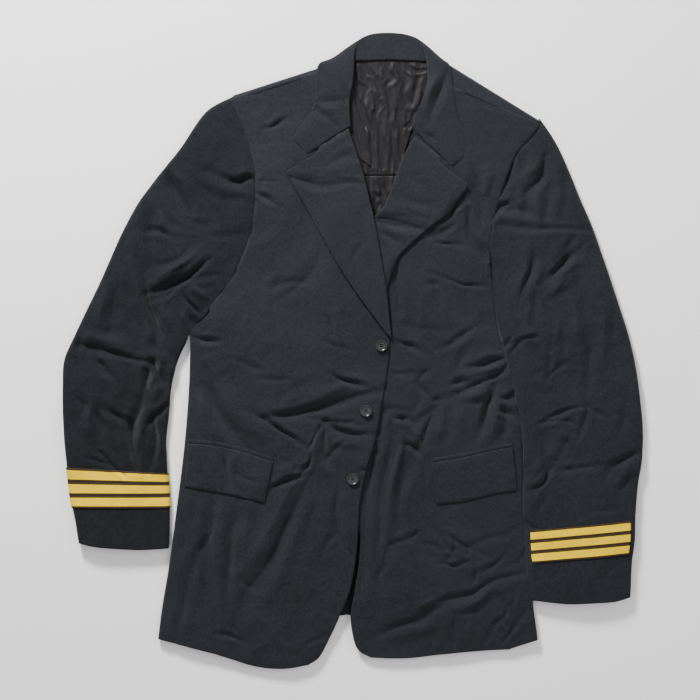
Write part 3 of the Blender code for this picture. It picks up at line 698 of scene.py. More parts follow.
def collar_form(u, v):
    """The collar: up from the neck seam, over the roll and down the leaf."""
    names = ("neck", "roll", "leaf", "edge")
    stations = []
    for name in names:
        curved = np.stack([along(COLLAR[name + axis], u) for axis in ("_x", "_y", "_z")], axis=-1)
        cornered = np.stack([straight_along(COLLAR[name + axis], u) for axis in ("_x", "_y", "_z")], axis=-1)
        tips = 1.0 - smoothstep(0.12, 0.19, np.minimum(u, 1.0 - u))
        stations.append(mix(curved, cornered, spread(tips)))
    before = 2 * stations[0] - stations[1]
    after = 2 * stations[3] - stations[2]
    held = np.stack([before, *stations, after])
    place = np.clip(v, 0.0, 1.0) * 3
    start = np.minimum(place.astype(int), 2)
    t = spread(place - start)
    rows, columns = np.indices(v.shape)
    p0, p1, p2, p3 = (held[start + i, rows, columns] for i in range(4))
    return smooth_between(p0, p1, p2, p3, t)


def strip_form(entry, first, second, height):
    """A flat strip of lining between two edges."""
    return lambda u, v: joined(mix(plan(entry, first, u), plan(entry, second, u), spread(v)), height)


def flap_form(entry):
    """A pocket flap, from its sewn edge (v = 0) to its free edge (v = 1)."""

    def form(u, v):
        point = mix(plan(entry, "sewn", u), plan(entry, "free", u), spread(v))
        return joined(point, front_height(point[..., 0], point[..., 1]) + LAYER)

    return form


def welt_form(entry):
    def form(u, v):
        point = plan(entry, "sewn", u)
        point[..., 1] += 0.4 + WELT_RISE * v
        return joined(point, front_height(point[..., 0], point[..., 1]) + LAYER - 0.2)

    return form


# How a crease lifts or sinks the cloth.


def crease_line(points, steps=7):
    """The smooth line through a crease's points."""
    points = np.array(points, dtype=float)
    shares = np.linspace(0.0, 1.0, (len(points) - 1) * steps + 1)
    return np.stack([along(points[:, 0], shares), along(points[:, 1], shares)], axis=-1)


def nearest_on(line, x, y):
    """For each point: its distance to the line, signed by side, and its share along the line."""
    start = line[:-1]
    run = line[1:] - start
    length = np.maximum(np.linalg.norm(run, axis=1), 1e-9)
    rel_x = x[:, None] - start[None, :, 0]
    rel_y = y[:, None] - start[None, :, 1]
    t = np.clip((rel_x * run[:, 0] + rel_y * run[:, 1]) / length**2, 0.0, 1.0)
    off_x = rel_x - t * run[:, 0]
    off_y = rel_y - t * run[:, 1]
    distance = np.hypot(off_x, off_y)
    best = np.argmin(distance, axis=1)
    pick = (np.arange(len(x)), best)
    cross = run[best, 0] * off_y[pick] - run[best, 1] * off_x[pick]
    share = (best + t[pick]) / len(run)
    return distance[pick] * np.where(cross < 0, -1.0, 1.0), share


def crease_heights(creases, x, y):
    """How far the creases lift or sink the cloth at each place."""
    total = np.zeros_like(x)
    for number, (height, width, lean, *points) in enumerate(creases):
        line = crease_line(points)
        reach = 3.4 * width
        low = line.min(axis=0) - reach
        high = line.max(axis=0) + reach
        near = (x > low[0]) & (x < high[0]) & (y > low[1]) & (y < high[1])
        if not near.any():
            continue
        distance, share = nearest_on(line, x[near], y[near])
        taper = np.sin(math.pi * np.clip(0.06 + 0.88 * share, 0.0, 1.0)) ** 0.7
        uneven = 0.85 + 0.3 * np.sin(5.0 * share + 1.7 * number)
        breadth = width * (0.45 + 0.28 * np.sin(3.1 * share + number) ** 2)
        s = distance / breadth
        middle = height * (0.65 * np.exp(-1.5 * np.abs(s)) + 0.45 * np.exp(-((s / 1.5) ** 2)))
        shoulder = -0.3 * height * np.exp(-(((np.abs(s) - 2.2) / 0.9) ** 2))
        side = lean * np.tanh(1.6 * s) * np.exp(-((s / 2.2) ** 2))
        total[near] += (middle + shoulder + side) * taper * uneven
    return total


def ripple(x, y, size, seed):
    """Smooth noise from about -0.5 to 0.5 with features of the given size in mm."""
    from_noise = noise.noise
    return np.array([from_noise((a / size, b / size, seed)) for a, b in zip(x, y)])


def crumple(x, y, size, seed):
    """Soft ridges, as in cloth that has been crushed."""
    return 0.25 - np.abs(ripple(x, y, size, seed))


# The main creases, placed in the jacket's plan, in mm. Each row is its height (a hollow is
# below zero), half its width, how much higher it leaves one side, then the places it runs through.

SLEEVE_RIGHT_CREASES = (
    # the head and the upper arm
    (-2.8, 8, 2.0, (-252, 245), (-243, 226), (-232, 206), (-220, 182)),
    (1.6, 9, 0.0, (-266, 228), (-256, 205), (-245, 185), (-228, 166)),
    (-1.6, 7, 0.0, (-210, 246), (-190, 240), (-165, 228), (-140, 226)),
    (-2.6, 5, 1.0, (-175, 236), (-158, 228), (-140, 234), (-128, 222)),
    (1.6, 8, 0.0, (-200, 228), (-175, 216), (-150, 212), (-134, 204)),
    (-1.3, 6, 0.0, (-250, 172), (-220, 164), (-185, 154), (-150, 156)),
    (-1.2, 5, 0.0, (-245, 178), (-215, 172), (-190, 162)),
    (-2.2, 5, -1.0, (-284, 159), (-266, 161), (-252, 155), (-240, 149)),
    (-2.2, 11, 0.0, (-272, 188), (-274, 160), (-272, 130), (-276, 102)),
    (1.4, 12, 0.0, (-292, 185), (-294, 160), (-297, 140)),
    # the fold that runs in from the front of the arm
    (-3.2, 7, 2.0, (-280, 78), (-262, 82), (-240, 92), (-216, 106), (-198, 122)),
    (2.6, 9, 0.0, (-268, 96), (-245, 108), (-222, 122), (-205, 138)),
    (-1.4, 5, 0.0, (-262, 84), (-236, 93), (-205, 98), (-178, 102)),
    (-1.6, 5, 0.0, (-276, 66), (-256, 72), (-240, 80)),
    (-2.0, 5, 1.0, (-234, 84), (-226, 70), (-215, 58), (-204, 46)),
    (1.6, 8, 0.0, (-222, 86), (-205, 74), (-192, 66)),
    (-2.6, 7, 0.0, (-222, 44), (-212, 36), (-200, 40)),
    # down the middle to the elbow
    (-3.4, 6, -2.0, (-292, 122), (-285, 95), (-280, 68), (-272, 44), (-264, 20)),
    (2.0, 10, 0.0, (-262, 62), (-254, 42), (-246, 22)),
    (-2.0, 10, 0.0, (-264, 22), (-267, 0), (-268, -16)),
    (-1.4, 9, 0.0, (-314, 142), (-308, 118), (-302, 96), (-300, 74)),
    (1.6, 14, 0.0, (-330, 95), (-338, 60), (-346, 30)),
    (-1.2, 10, 0.0, (-322, 84), (-326, 50), (-330, 20)),
    (-2.4, 7, 1.5, (-368, 8), (-345, 2), (-318, -5), (-292, -12), (-266, -16)),
    (2.0, 10, 0.0, (-360, 20), (-335, 14), (-305, 6)),
    (-2.0, 8, 1.0, (-355, 0), (-344, -14), (-332, -28), (-318, -44)),
    (-1.0, 5, 0.0, (-370, 22), (-371, 0), (-372, -20)),
    # the bunched cloth inside the elbow
    (-3.0, 7, 1.5, (-270, -16), (-262, -32), (-250, -48)),
    (2.0, 7, 0.0, (-252, -6), (-246, -22), (-240, -34)),
    (-2.4, 7, 0.0, (-272, -16), (-278, -36), (-281, -56)),
    (1.6, 10, 0.0, (-266, -44), (-266, -60), (-272, -76)),
    (-3.2, 7, -2.0, (-249, -70), (-262, -84), (-272, -90), (-280, -102)),
    (-3.2, 8, 1.5, (-282, -56), (-288, -80), (-297, -104), (-298, -130), (-290, -160)),
    (1.2, 7, 0.0, (-284, -98), (-286, -120), (-284, -144)),
    (-2.4, 7, -1.0, (-272, -96), (-268, -120), (-272, -146), (-280, -164)),
    (1.0, 6, 0.0, (-262, -106), (-260, -128), (-264, -148)),
    # the forearm
    (-1.8, 8, 0.0, (-340, -52), (-336, -76), (-322, -88), (-306, -98), (-300, -120)),
    (-1.8, 9, 0.0, (-346, -84), (-340, -104), (-336, -124)),
    (-2.2, 5, 1.0, (-340, -138), (-330, -150), (-320, -160), (-308, -170)),
    (-1.4, 4, 0.0, (-360, -146), (-345, -150), (-328, -156)),
    (1.6, 10, 0.0, (-352, -60), (-356, -90), (-360, -120)),
    (-1.2, 9, 0.0, (-376, -60), (-362, -74), (-350, -66)),
    (1.4, 7, 0.0, (-318, -118), (-312, -136), (-306, -152)),
)

SLEEVE_LEFT_CREASES = (
    # the head
    (-2.8, 8, -2.0, (258, 262), (254, 240), (246, 226), (232, 214)),
    (2.0, 9, 0.0, (244, 262), (236, 242), (226, 226)),
    (-2.2, 9, 0.0, (238, 214), (234, 196), (236, 178)),
    (-1.4, 9, 0.0, (268, 250), (264, 225), (262, 196), (260, 168)),
    (1.5, 10, 0.0, (250, 215), (250, 192), (252, 172)),
    (-1.3, 9, 0.0, (288, 240), (286, 212), (284, 182)),
    (-1.8, 8, 0.0, (216, 268), (210, 244), (206, 220)),
    (-3.0, 6, 1.0, (188, 192), (200, 196), (214, 200)),
    (-1.6, 6, 0.0, (182, 176), (196, 187), (216, 190), (238, 186)),
    (1.6, 8, 0.0, (196, 178), (215, 178), (235, 174)),
    (-1.4, 6, 0.0, (184, 164), (210, 168), (240, 164), (280, 164), (318, 162)),
    # the upper arm
    (-2.6, 8, 2.0, (304, 132), (290, 120), (272, 102), (258, 88)),
    (-1.8, 9, 0.0, (298, 150), (288, 136), (282, 118)),
    (1.8, 10, 0.0, (298, 106), (284, 94), (270, 78)),
    (-2.0, 6, -1.0, (242, 134), (240, 112), (232, 92), (224, 70)),
    (1.5, 8, 0.0, (252, 118), (248, 96), (238, 74)),
    (-1.8, 10, 0.0, (300, 114), (308, 84), (314, 50), (318, 20), (318, -20), (316, -56)),
    (1.8, 12, 0.0, (332, 96), (338, 56), (338, 14), (336, -30)),
    (1.4, 10, 0.0, (298, 60), (302, 26), (306, -10)),
    (-1.6, 7, 0.0, (244, 74), (246, 44), (254, 22), (266, 0)),
    (-1.8, 5, 1.0, (216, 2), (224, 12), (236, 18), (248, 18)),
    (1.4, 8, 0.0, (228, 44), (232, 26), (242, 10)),
    (-1.5, 5, 0.0, (205, 2), (210, 10), (215, 18)),
    (-1.2, 6, 0.0, (266, 4), (264, -18), (262, -42)),
    (-1.3, 5, 0.0, (260, -40), (272, -28), (285, -18)),
    (-1.2, 6, 0.0, (282, 36), (282, 10), (286, -6)),
    # the elbow
    (-1.8, 5, -1.0, (256, -98), (276, -88), (296, -80), (316, -77)),
    (-1.4, 4, 0.0, (252, -100), (272, -96), (290, -96), (304, -103)),
    (-1.5, 5, 0.0, (304, -46), (307, -62), (316, -80), (308, -108), (302, -122)),
    (-1.2, 5, 0.0, (316, -78), (332, -86), (346, -93)),
    (1.5, 10, 0.0, (276, -110), (290, -118), (300, -132)),
    (-1.5, 8, 0.0, (290, -120), (280, -140), (270, -160)),
    (-1.8, 9, 0.0, (260, -110), (258, -136), (262, -160)),
    # the forearm
    (-2.6, 6, -1.5, (265, -150), (260, -172), (250, -184), (238, -191)),
    (2.0, 8, 0.0, (252, -150), (248, -164), (242, -176)),
    (-2.2, 4, 1.0, (234, -228), (242, -237), (250, -240)),
    (-1.6, 8, 0.0, (262, -186), (256, -206), (246, -224)),
    (-2.4, 8, 1.5, (386, -140), (368, -148), (352, -160), (340, -176)),
    (1.8, 9, 0.0, (384, -156), (370, -166), (358, -180)),
    (-1.4, 6, 0.0, (350, -154), (330, -156), (300, -160), (272, -164)),
    (-1.2, 7, 0.0, (338, -194), (344, -212), (352, -222)),
    (-1.2, 7, 0.0, (372, -170), (362, -190), (358, -210)),
    (-1.3, 9, 0.0, (368, -60), (366, -90), (360, -112)),
    (-1.0, 6, 0.0, (300, -226), (325, -218), (355, -216)),
)

BODY_CREASES = (
    # right shoulder and chest
    (-1.8, 5, 0.0, (-130, 212), (-116, 204), (-98, 193)),
    (-0.9, 3, 0.0, (-128, 228), (-104, 228)),
    (-1.6, 5, 1.0, (-122, 300), (-110, 303), (-96, 312)),
    (-1.0, 12, 0.0, (-110, 60), (-60, 100), (-42, 138)),
    (-0.9, 7, 0.0, (-115, 82), (-90, 92), (-60, 91)),
    (1.2, 22, 0.0, (-150, 120), (-100, 160), (-85, 200)),
    (-2.2, 5, 0.0, (-218, 18), (-203, 13), (-180, 12)),
    (-1.2, 4, 0.0, (-34, 44), (-29, 26), (-23, 8)),
    (-1.4, 4, 0.0, (-40, 12), (-22, 4), (0, 0)),
    # from the right side and the buttons, down to the flap
    (-1.3, 5, 0.0, (-168, -12), (-150, -16), (-136, -24), (-118, -28)),
    (-1.0, 5, 0.0, (-134, -36), (-112, -40), (-84, -40)),
    (-2.4, 15, 2.0, (-194, -38), (-188, -60), (-172, -92), (-152, -120), (-128, -146)),
    (1.8, 11, 0.0, (-205, -60), (-200, -90), (-186, -116)),
    (1.6, 14, 0.0, (-164, -60), (-145, -92), (-122, -116)),
    (-2.6, 5, 1.0, (-140, -82), (-118, -94), (-98, -108), (-82, -117), (-66, -130)),
    (-2.6, 9, 2.0, (-118, -88), (-80, -84), (-40, -74), (0, -62), (40, -52)),
    (1.8, 10, 0.0, (-90, -68), (-50, -58), (-15, -50)),
    (-1.6, 5, 0.0, (-100, -92), (-60, -92), (-20, -97), (8, -100)),
    (-2.4, 5, 1.0, (-30, -32), (-14, -40), (6, -45), (18, -48)),
    (-1.3, 4, 0.0, (22, -73), (38, -72)),
    (-2.4, 4, 1.0, (-40, -98), (-50, -114), (-58, -133)),
    (-2.2, 4, -1.0, (-56, -136), (-60, -152), (-70, -164)),
    (-3.0, 5, 1.5, (-113, -186), (-95, -178), (-78, -172), (-66, -168)),
    (1.6, 7, 0.0, (-100, -164), (-84, -158), (-74, -150)),
    (-2.8, 7, -1.5, (-39, -100), (-41, -122), (-40, -142), (-32, -158)),
    (1.6, 7, 0.0, (-50, -106), (-52, -126), (-52, -146)),
    (-2.4, 6, 1.0, (-36, -96), (-18, -108), (4, -113), (30, -113)),
    (1.4, 8, 0.0, (-30, -122), (-10, -126), (14, -126)),
    (-1.2, 5, 0.0, (-8, -118), (-24, -134), (-36, -148)),
    (-1.6, 4, 0.0, (8, -162), (20, -161)),
    # right flap
    (-1.8, 7, 2.0, (-172, -142), (-169, -164), (-164, -190)),
    (-1.4, 4, 0.0, (-158, -166), (-146, -174), (-132, -178)),
    (-1.2, 4, 0.0, (-150, -182), (-144, -196), (-134, -204)),
    # right skirt
    (-2.8, 12, 2.0, (-186, -200), (-190, -235), (-197, -268), (-197, -310), (-192, -350), (-182, -388)),
    (2.4, 10, 0.0, (-206, -210), (-208, -240), (-212, -258)),
    (2.0, 9, 0.0, (-178, -215), (-180, -260), (-180, -310), (-176, -350)),
    (-2.2, 9, 0.0, (-162, -205), (-165, -245), (-168, -290), (-172, -350)),
    (2.0, 13, 0.0, (-140, -212), (-146, -250), (-150, -300)),
    (-3.4, 8, -2.0, (-200, -256), (-212, -274), (-221, -302), (-230, -335), (-244, -395)),
    (2.2, 8, 0.0, (-210, -300), (-218, -340), (-226, -380)),
    (
        -2.8, 15, -2.0, (-58, -170), (-76, -205), (-94, -240), (-108, -272), (-122, -298), (-144, -324),
        (-160, -362),
    ),
    (2.2, 15, 0.0, (-80, -176), (-104, -222), (-126, -268), (-138, -300)),
    (1.6, 16, 0.0, (-62, -215), (-82, -262), (-104, -310)),
    (-1.6, 6, 0.0, (-154, -308), (-143, -319), (-132, -322)),
    (-2.4, 7, 1.0, (-20, -190), (-23, -215), (-21, -240), (-14, -260), (0, -282)),
    (-1.8, 6, 0.0, (-24, -248), (-34, -258), (-43, -278)),
    (1.6, 9, 0.0, (-8, -200), (-8, -228), (-2, -252)),
    (-1.4, 12, 0.0, (-40, -186), (-56, -222), (-66, -262)),
    (-2.0, 5, 0.0, (-184, -384), (-166, -387), (-148, -396)),
    (-1.6, 6, 0.0, (-66, -398), (-50, -392), (-36, -386)),
    (-1.4, 8, 0.0, (-162, -360), (-160, -378), (-148, -398)),
    # left shoulder, beside the armhole
    (-2.0, 10, 0.0, (166, 258), (166, 225), (172, 190), (174, 160)),
    (1.8, 8, 0.0, (180, 240), (178, 215), (170, 210)),
    (-3.0, 7, 1.5, (156, 190), (158, 165), (164, 145), (176, 124)),
    (1.8, 7, 0.0, (167, 176), (170, 156), (176, 142)),
    (-2.4, 9, 0.0, (142, 204), (134, 190), (128, 176)),
    # left chest
    (-1.6, 4, 0.0, (108, 145), (135, 143), (158, 142)),
    (-2.0, 6, 0.0, (95, 152), (115, 157), (135, 168)),
    (-1.4, 4, 0.0, (100, 104), (128, 96), (150, 88), (180, 87)),
    (-0.8, 5, 0.0, (98, 88), (120, 92)),
    (-3.0, 10, 0.0, (58, 116), (57, 96), (60, 76), (62, 50)),
    (1.6, 14, 0.0, (90, 90), (92, 60), (96, 30)),
    (-1.6, 5, 1.0, (52, 16), (66, 10), (80, 6), (98, -4)),
    (-1.6, 6, 1.0, (162, 28), (148, 18), (130, 6), (112, -2)),
    (-1.0, 7, 0.0, (64, 34), (95, 28), (130, 26)),
    (-1.2, 9, 0.0, (160, 28), (172, 36), (184, 42)),
    # left waist, gathered from the side
    (-2.6, 6, -1.0, (206, -10), (190, -14), (174, -19), (150, -22)),
    (1.8, 6, 0.0, (196, -22), (176, -28), (152, -34)),
    (-3.2, 5, 1.5, (209, -23), (196, -35), (178, -42), (156, -52), (138, -60)),
    (-2.8, 6, 0.0, (160, -42), (146, -43), (132, -46)),
    (2.0, 8, 0.0, (186, -52), (166, -62), (146, -70)),
    (-1.8, 9, 0.0, (150, -2), (143, -20), (136, -42)),
    (-1.6, 5, 0.0, (102, -28), (80, -32), (54, -32)),
    (-1.4, 5, 0.0, (104, -28), (92, -36), (86, -42)),
    (-1.6, 6, 0.0, (84, -42), (98, -58), (106, -68)),
    (-1.8, 6, 0.0, (104, -70), (120, -65), (142, -66)),
    (-1.2, 7, 0.0, (88, -46), (88, -66), (84, -84)),
    (-2.6, 10, 2.0, (196, -40), (190, -60), (182, -80), (178, -104), (164, -130)),
    (2.0, 10, 0.0, (196, -76), (192, -96), (184, -116)),
    (-3.4, 7, 0.0, (222, -58), (214, -64), (200, -66)),
    (-2.4, 7, 0.0, (220, -90), (206, -84), (200, -78)),
    (-1.4, 6, 0.0, (200, -82), (206, -100), (202, -120)),
    (1.6, 12, 0.0, (150, -78), (142, -100), (136, -124)),
    (-2.8, 7, 1.0, (114, -72), (106, -92), (98, -110), (92, -130)),
    (1.6, 8, 0.0, (124, -80), (118, -104), (110, -126)),
    (-2.2, 5, -1.0, (54, -93), (70, -94), (82, -98)),
    (-1.6, 7, 0.0, (42, -80), (60, -80), (76, -84)),
    (-3.2, 6, 1.5, (68, -126), (80, -129), (91, -138)),
    (1.6, 9, 0.0, (76, -106), (88, -114), (98, -122)),
    (-1.6, 6, 0.0, (84, -98), (96, -88), (108, -78)),
    # the roll down the left front's edge
    (2.8, 6, 0.0, (60, -100), (66, -122), (63, -142), (56, -165), (50, -195), (48, -235), (45, -262)),
    (-3.0, 8, 0.0, (50, -104), (52, -130), (44, -160), (36, -200), (34, -240), (30, -285)),
    (-2.6, 10, 0.0, (78, -140), (70, -165), (62, -200), (60, -240)),
    (-2.0, 4, 0.0, (31, -132), (37, -152), (40, -180)),
    (-3.0, 5, 1.0, (48, -262), (62, -258), (78, -252), (88, -244)),
    (-2.4, 8, 0.0, (46, -268), (40, -290), (32, -312)),
    # left skirt
    (-1.8, 5, 0.0, (80, -272), (85, -292), (89, -306), (92, -326)),
    (-1.4, 6, 0.0, (94, -170), (98, -198), (104, -218)),
    (-2.0, 5, 0.0, (98, -226), (110, -240), (120, -256), (134, -274)),
    (-2.2, 5, 1.0, (126, -248), (138, -256), (150, -263), (164, -264)),
    (-1.6, 6, 0.0, (158, -264), (178, -256), (204, -250), (230, -238)),
    (-2.0, 5, 0.0, (82, -260), (108, -264), (134, -270), (150, -266)),
    (-1.8, 4, 0.0, (136, -252), (136, -264), (134, -278)),
    (-1.8, 4, 1.0, (108, -290), (124, -287), (136, -291), (150, -286), (172, -284)),
    (-1.6, 4, 0.0, (120, -284), (132, -280), (148, -278)),
    (-1.4, 5, 0.0, (150, -270), (165, -272), (185, -280)),
    (-1.8, 5, -1.0, (212, -268), (198, -282), (184, -293), (166, -300)),
    (-2.0, 5, 0.0, (166, -296), (164, -308), (160, -322)),
    (-1.4, 5, 0.0, (232, -272), (224, -286), (204, -294)),
    (-3.4, 6, 2.0, (232, -304), (206, -308), (186, -314), (164, -330), (140, -336), (118, -340)),
    (2.4, 7, 0.0, (214, -318), (186, -326), (160, -344), (136, -352)),
    (-3.0, 10, 2.0, (136, -342), (112, -352), (92, -366), (62, -375), (40, -384), (22, -394)),
    (2.4, 10, 0.0, (112, -334), (88, -346), (64, -358), (40, -368)),
    (-1.8, 4, 0.0, (118, -331), (104, -332), (94, -340)),
    (-1.4, 8, 0.0, (92, -344), (78, -352), (60, -362)),
    (-2.2, 5, 1.0, (200, -334), (208, -348), (204, -362), (190, -372)),
    (-2.4, 6, -1.0, (196, -364), (186, -378), (176, -398)),
    (-1.8, 5, 0.0, (238, -350), (224, -366), (212, -382), (202, -396)),
    (-1.4, 5, 0.0, (216, -322), (217, -340), (212, -350)),
    (-1.8, 5, 0.0, (138, -358), (136, -378), (134, -402)),
    (-1.6, 5, 0.0, (102, -372), (106, -388), (105, -402)),
    (1.4, 9, 0.0, (120, -366), (120, -388), (120, -404)),
    (1.4, 10, 0.0, (156, -362), (156, -384), (154, -402)),
)

# The left front where it drops away under the right one's edge.
LEFT_EDGE_CREASES = (
    (-5.0, 11, 0.0, (29, -130), (24, -165), (17, -205), (13, -250), (14, -285), (8, -330)),
    (-2.0, 8, 0.0, (44, -70), (38, -95), (34, -120)),
)

LAPEL_RIGHT_CREASES = (
    (-3.0, 7, 1.5, (-84, 234), (-64, 228), (-45, 223), (-20, 225), (0, 227), (14, 224)),
    (1.8, 10, 0.0, (-62, 244), (-35, 242), (-8, 244)),
    (-1.4, 5, 0.0, (-12, 108), (-2, 122), (10, 140), (22, 147)),
    (-2.0, 7, 0.0, (-20, 259), (-6, 263), (0, 258), (12, 257)),
    (-1.2, 9, 0.0, (4, 236), (14, 210), (20, 185)),
)

LAPEL_LEFT_CREASES = (
    (-4.0, 9, 2.0, (32, 178), (55, 174), (78, 168), (98, 162)),
    (2.4, 10, 0.0, (52, 196), (80, 190), (104, 180)),
    (1.8, 8, 0.0, (38, 166), (58, 158), (76, 150)),
    (-2.0, 6, 0.0, (34, 172), (44, 156), (58, 146)),
    (-1.5, 7, 0.0, (100, 220), (106, 206), (110, 190)),
    (-1.2, 9, 0.0, (132, 280), (130, 262), (134, 250)),
    (-1.2, 10, 0.0, (70, 240), (86, 226), (100, 224)),
)

COLLAR_CREASES = (
    (-1.6, 7, 0.0, (-52, 335), (-36, 335), (-10, 338)),
    (-1.8, 7, 1.0, (-52, 330), (-38, 318), (-24, 306), (-20, 298)),
    (-2.2, 6, 1.0, (92, 300), (98, 290), (108, 286)),
    (-2.0, 8, 0.0, (126, 376), (120, 358), (112, 336), (100, 304)),
    (1.6, 8, 0.0, (112, 372), (104, 348), (96, 322)),
    (-1.2, 8, 0.0, (-12, 352), (-8, 320), (-2, 296)),
)

LINING_CREASES = (
    # the upper lining
    (-3.0, 5, 1.0, (50, 392), (46, 378), (52, 367), (44, 358)),
    (-2.6, 5, 0.0, (60, 390), (70, 366), (68, 350), (75, 334)),
    (-2.6, 4, 1.0, (2, 372), (6, 362), (15, 351)),
    (-2.8, 5, 1.0, (2, 346), (9, 332), (17, 309), (24, 296)),
    (-2.0, 4, 0.0, (12, 392), (18, 380), (30, 368), (36, 352)),
    (-2.2, 4, 0.0, (28, 320), (34, 326), (37, 334)),
    (-2.8, 5, 1.0, (36, 306), (38, 288), (40, 270), (40, 248)),
    (-2.2, 4, 0.0, (22, 296), (26, 272), (28, 250)),
    (-2.6, 5, -1.0, (58, 322), (64, 302), (63, 285), (68, 268)),
    (-2.2, 4, 0.0, (82, 322), (78, 306), (70, 302)),
    (-2.6, 4, 0.0, (66, 392), (82, 378), (98, 379)),
    (-2.0, 4, 0.0, (52, 302), (54, 280), (57, 260), (62, 242)),
    (-2.0, 5, 0.0, (88, 370), (84, 350), (80, 332)),
    (-2.0, 4, 0.0, (26, 348), (32, 336), (30, 318)),
    (1.6, 5, 0.0, (56, 358), (58, 330), (54, 306)),
    (1.6, 5, 0.0, (14, 318), (22, 282), (24, 256)),
    # the lower lining
    (-2.8, 4, 0.0, (36, 230), (39, 208), (34, 192)),
    (-2.8, 5, 0.0, (46, 235), (44, 216), (49, 204)),
    (-2.0, 4, 0.0, (30, 224), (30, 200), (28, 180)),
    (-2.2, 4, 1.0, (28, 212), (38, 206), (42, 192)),
)


# Finishes.


def add_nodes(tree, **kinds):
    return {name: tree.nodes.new(kind) for name, kind in kinds.items()}


def new_group(name, inputs, outputs):
    """A shader node group with named sockets: inputs are (name, kind, value)."""
    tree = bpy.data.node_groups.new(name, "ShaderNodeTree")
    for label, kind, value in inputs:
        socket = tree.interface.new_socket(label, in_out="INPUT", socket_type=kind)
        socket.default_value = value
    for label, kind in outputs:
        tree.interface.new_socket(label, in_out="OUTPUT", socket_type=kind)
    source = tree.nodes.new("NodeGroupInput")
    target = tree.nodes.new("NodeGroupOutput")
    return tree, source, target


def math_node(tree, operation, first, second):
    node = tree.nodes.new("ShaderNodeMath")
    node.operation = operation
    for socket, value in zip(node.inputs, (first, second)):
        if isinstance(value, (int, float)):
            socket.default_value = value
        else:
            tree.links.new(value, socket)
    return node.outputs[0]


def weave_group():
    """Fine diagonal ribs of a twill, over uneven yarn."""
    tree, source, target = new_group(
        "twill_weave",
        [
            ("Vector", "NodeSocketVector", (0.0, 0.0, 0.0)),
            ("Ribs Per Metre", "NodeSocketFloat", 900.0),
            ("Yarn Per Metre", "NodeSocketFloat", 700.0),
        ],
        [("Height", "NodeSocketFloat"), ("Yarn", "NodeSocketFloat")],
    )
    n = add_nodes(tree, ribs="ShaderNodeTexWave", yarn="ShaderNodeTexNoise")
    n["ribs"].wave_type = "BANDS"
    n["ribs"].bands_direction = "DIAGONAL"
    n["ribs"].inputs["Distortion"].default_value = 1.2
    n["ribs"].inputs["Detail"].default_value = 1.0
    n["yarn"].inputs["Detail"].default_value = 3.0
    tree.links.new(source.outputs["Vector"], n["ribs"].inputs["Vector"])
    tree.links.new(source.outputs["Vector"], n["yarn"].inputs["Vector"])
    tree.links.new(source.outputs["Ribs Per Metre"], n["ribs"].inputs["Scale"])
    tree.links.new(source.outputs["Yarn Per Metre"], n["yarn"].inputs["Scale"])
    ribs = math_node(tree, "MULTIPLY", n["ribs"].outputs["Fac"], 0.45)
    yarn = math_node(tree, "MULTIPLY", n["yarn"].outputs["Fac"], 0.9)
    tree.links.new(math_node(tree, "ADD", ribs, yarn), target.inputs["Height"])
    tree.links.new(n["yarn"].outputs["Fac"], target.inputs["Yarn"])
    return tree


def lint_group():
    """A mask of sparse pale specks of lint, and a broad uneven fade of the dye."""
    tree, source, target = new_group(
        "lint_and_fade",
        [
            ("Vector", "NodeSocketVector", (0.0, 0.0, 0.0)),
            ("Specks Per Metre", "NodeSocketFloat", 170.0),
            ("Speck Size", "NodeSocketFloat", 0.035),
        ],
        [("Lint", "NodeSocketFloat"), ("Fade", "NodeSocketFloat")],
    )
    n = add_nodes(
        tree,
        specks="ShaderNodeTexVoronoi",
        pick="ShaderNodeTexNoise",
        fade="ShaderNodeTexNoise",
        size="ShaderNodeMapRange",
        rare="ShaderNodeMapRange",
    )
    tree.links.new(source.outputs["Vector"], n["specks"].inputs["Vector"])
    tree.links.new(source.outputs["Vector"], n["pick"].inputs["Vector"])
    tree.links.new(source.outputs["Vector"], n["fade"].inputs["Vector"])
    tree.links.new(source.outputs["Specks Per Metre"], n["specks"].inputs["Scale"])
    n["pick"].inputs["Scale"].default_value = 60.0
    n["fade"].inputs["Scale"].default_value = 9.0
    n["fade"].inputs["Detail"].default_value = 4.0
    tree.links.new(n["specks"].outputs["Distance"], n["size"].inputs["Value"])
    n["size"].inputs["From Min"].default_value = 0.0
    tree.links.new(source.outputs["Speck Size"], n["size"].inputs["From Max"])
    n["size"].inputs["To Min"].default_value = 1.0
    n["size"].inputs["To Max"].default_value = 0.0
    tree.links.new(n["pick"].outputs["Fac"], n["rare"].inputs["Value"])
    n["rare"].inputs["From Min"].default_value = 0.60
    n["rare"].inputs["From Max"].default_value = 0.64
    lint = math_node(tree, "MULTIPLY", n["size"].outputs["Result"], n["rare"].outputs["Result"])
    tree.links.new(lint, target.inputs["Lint"])
    tree.links.new(n["fade"].outputs["Fac"], target.inputs["Fade"])
    return tree


WEAVE = weave_group()
LINT = lint_group()


def new_material(name, roughness, **sockets):
    made = bpy.data.materials.new(name)
    made.use_nodes = True
    shader = made.node_tree.nodes["Principled BSDF"]
    shader.inputs["Roughness"].default_value = roughness
    for label, value in sockets.items():
        shader.inputs[label.replace("_", " ")].default_value = value
    return made, made.node_tree, shader


def place_group(tree, group, vector, **values):
    node = tree.nodes.new("ShaderNodeGroup")
    node.node_tree = group
    tree.links.new(vector, node.inputs["Vector"])
    for label, value in values.items():
        node.inputs[label.replace("_", " ")].default_value = value
    return node


MIX_FIRST, MIX_SECOND, MIX_RESULT = 6, 7, 2  # the colour sockets of a Mix node


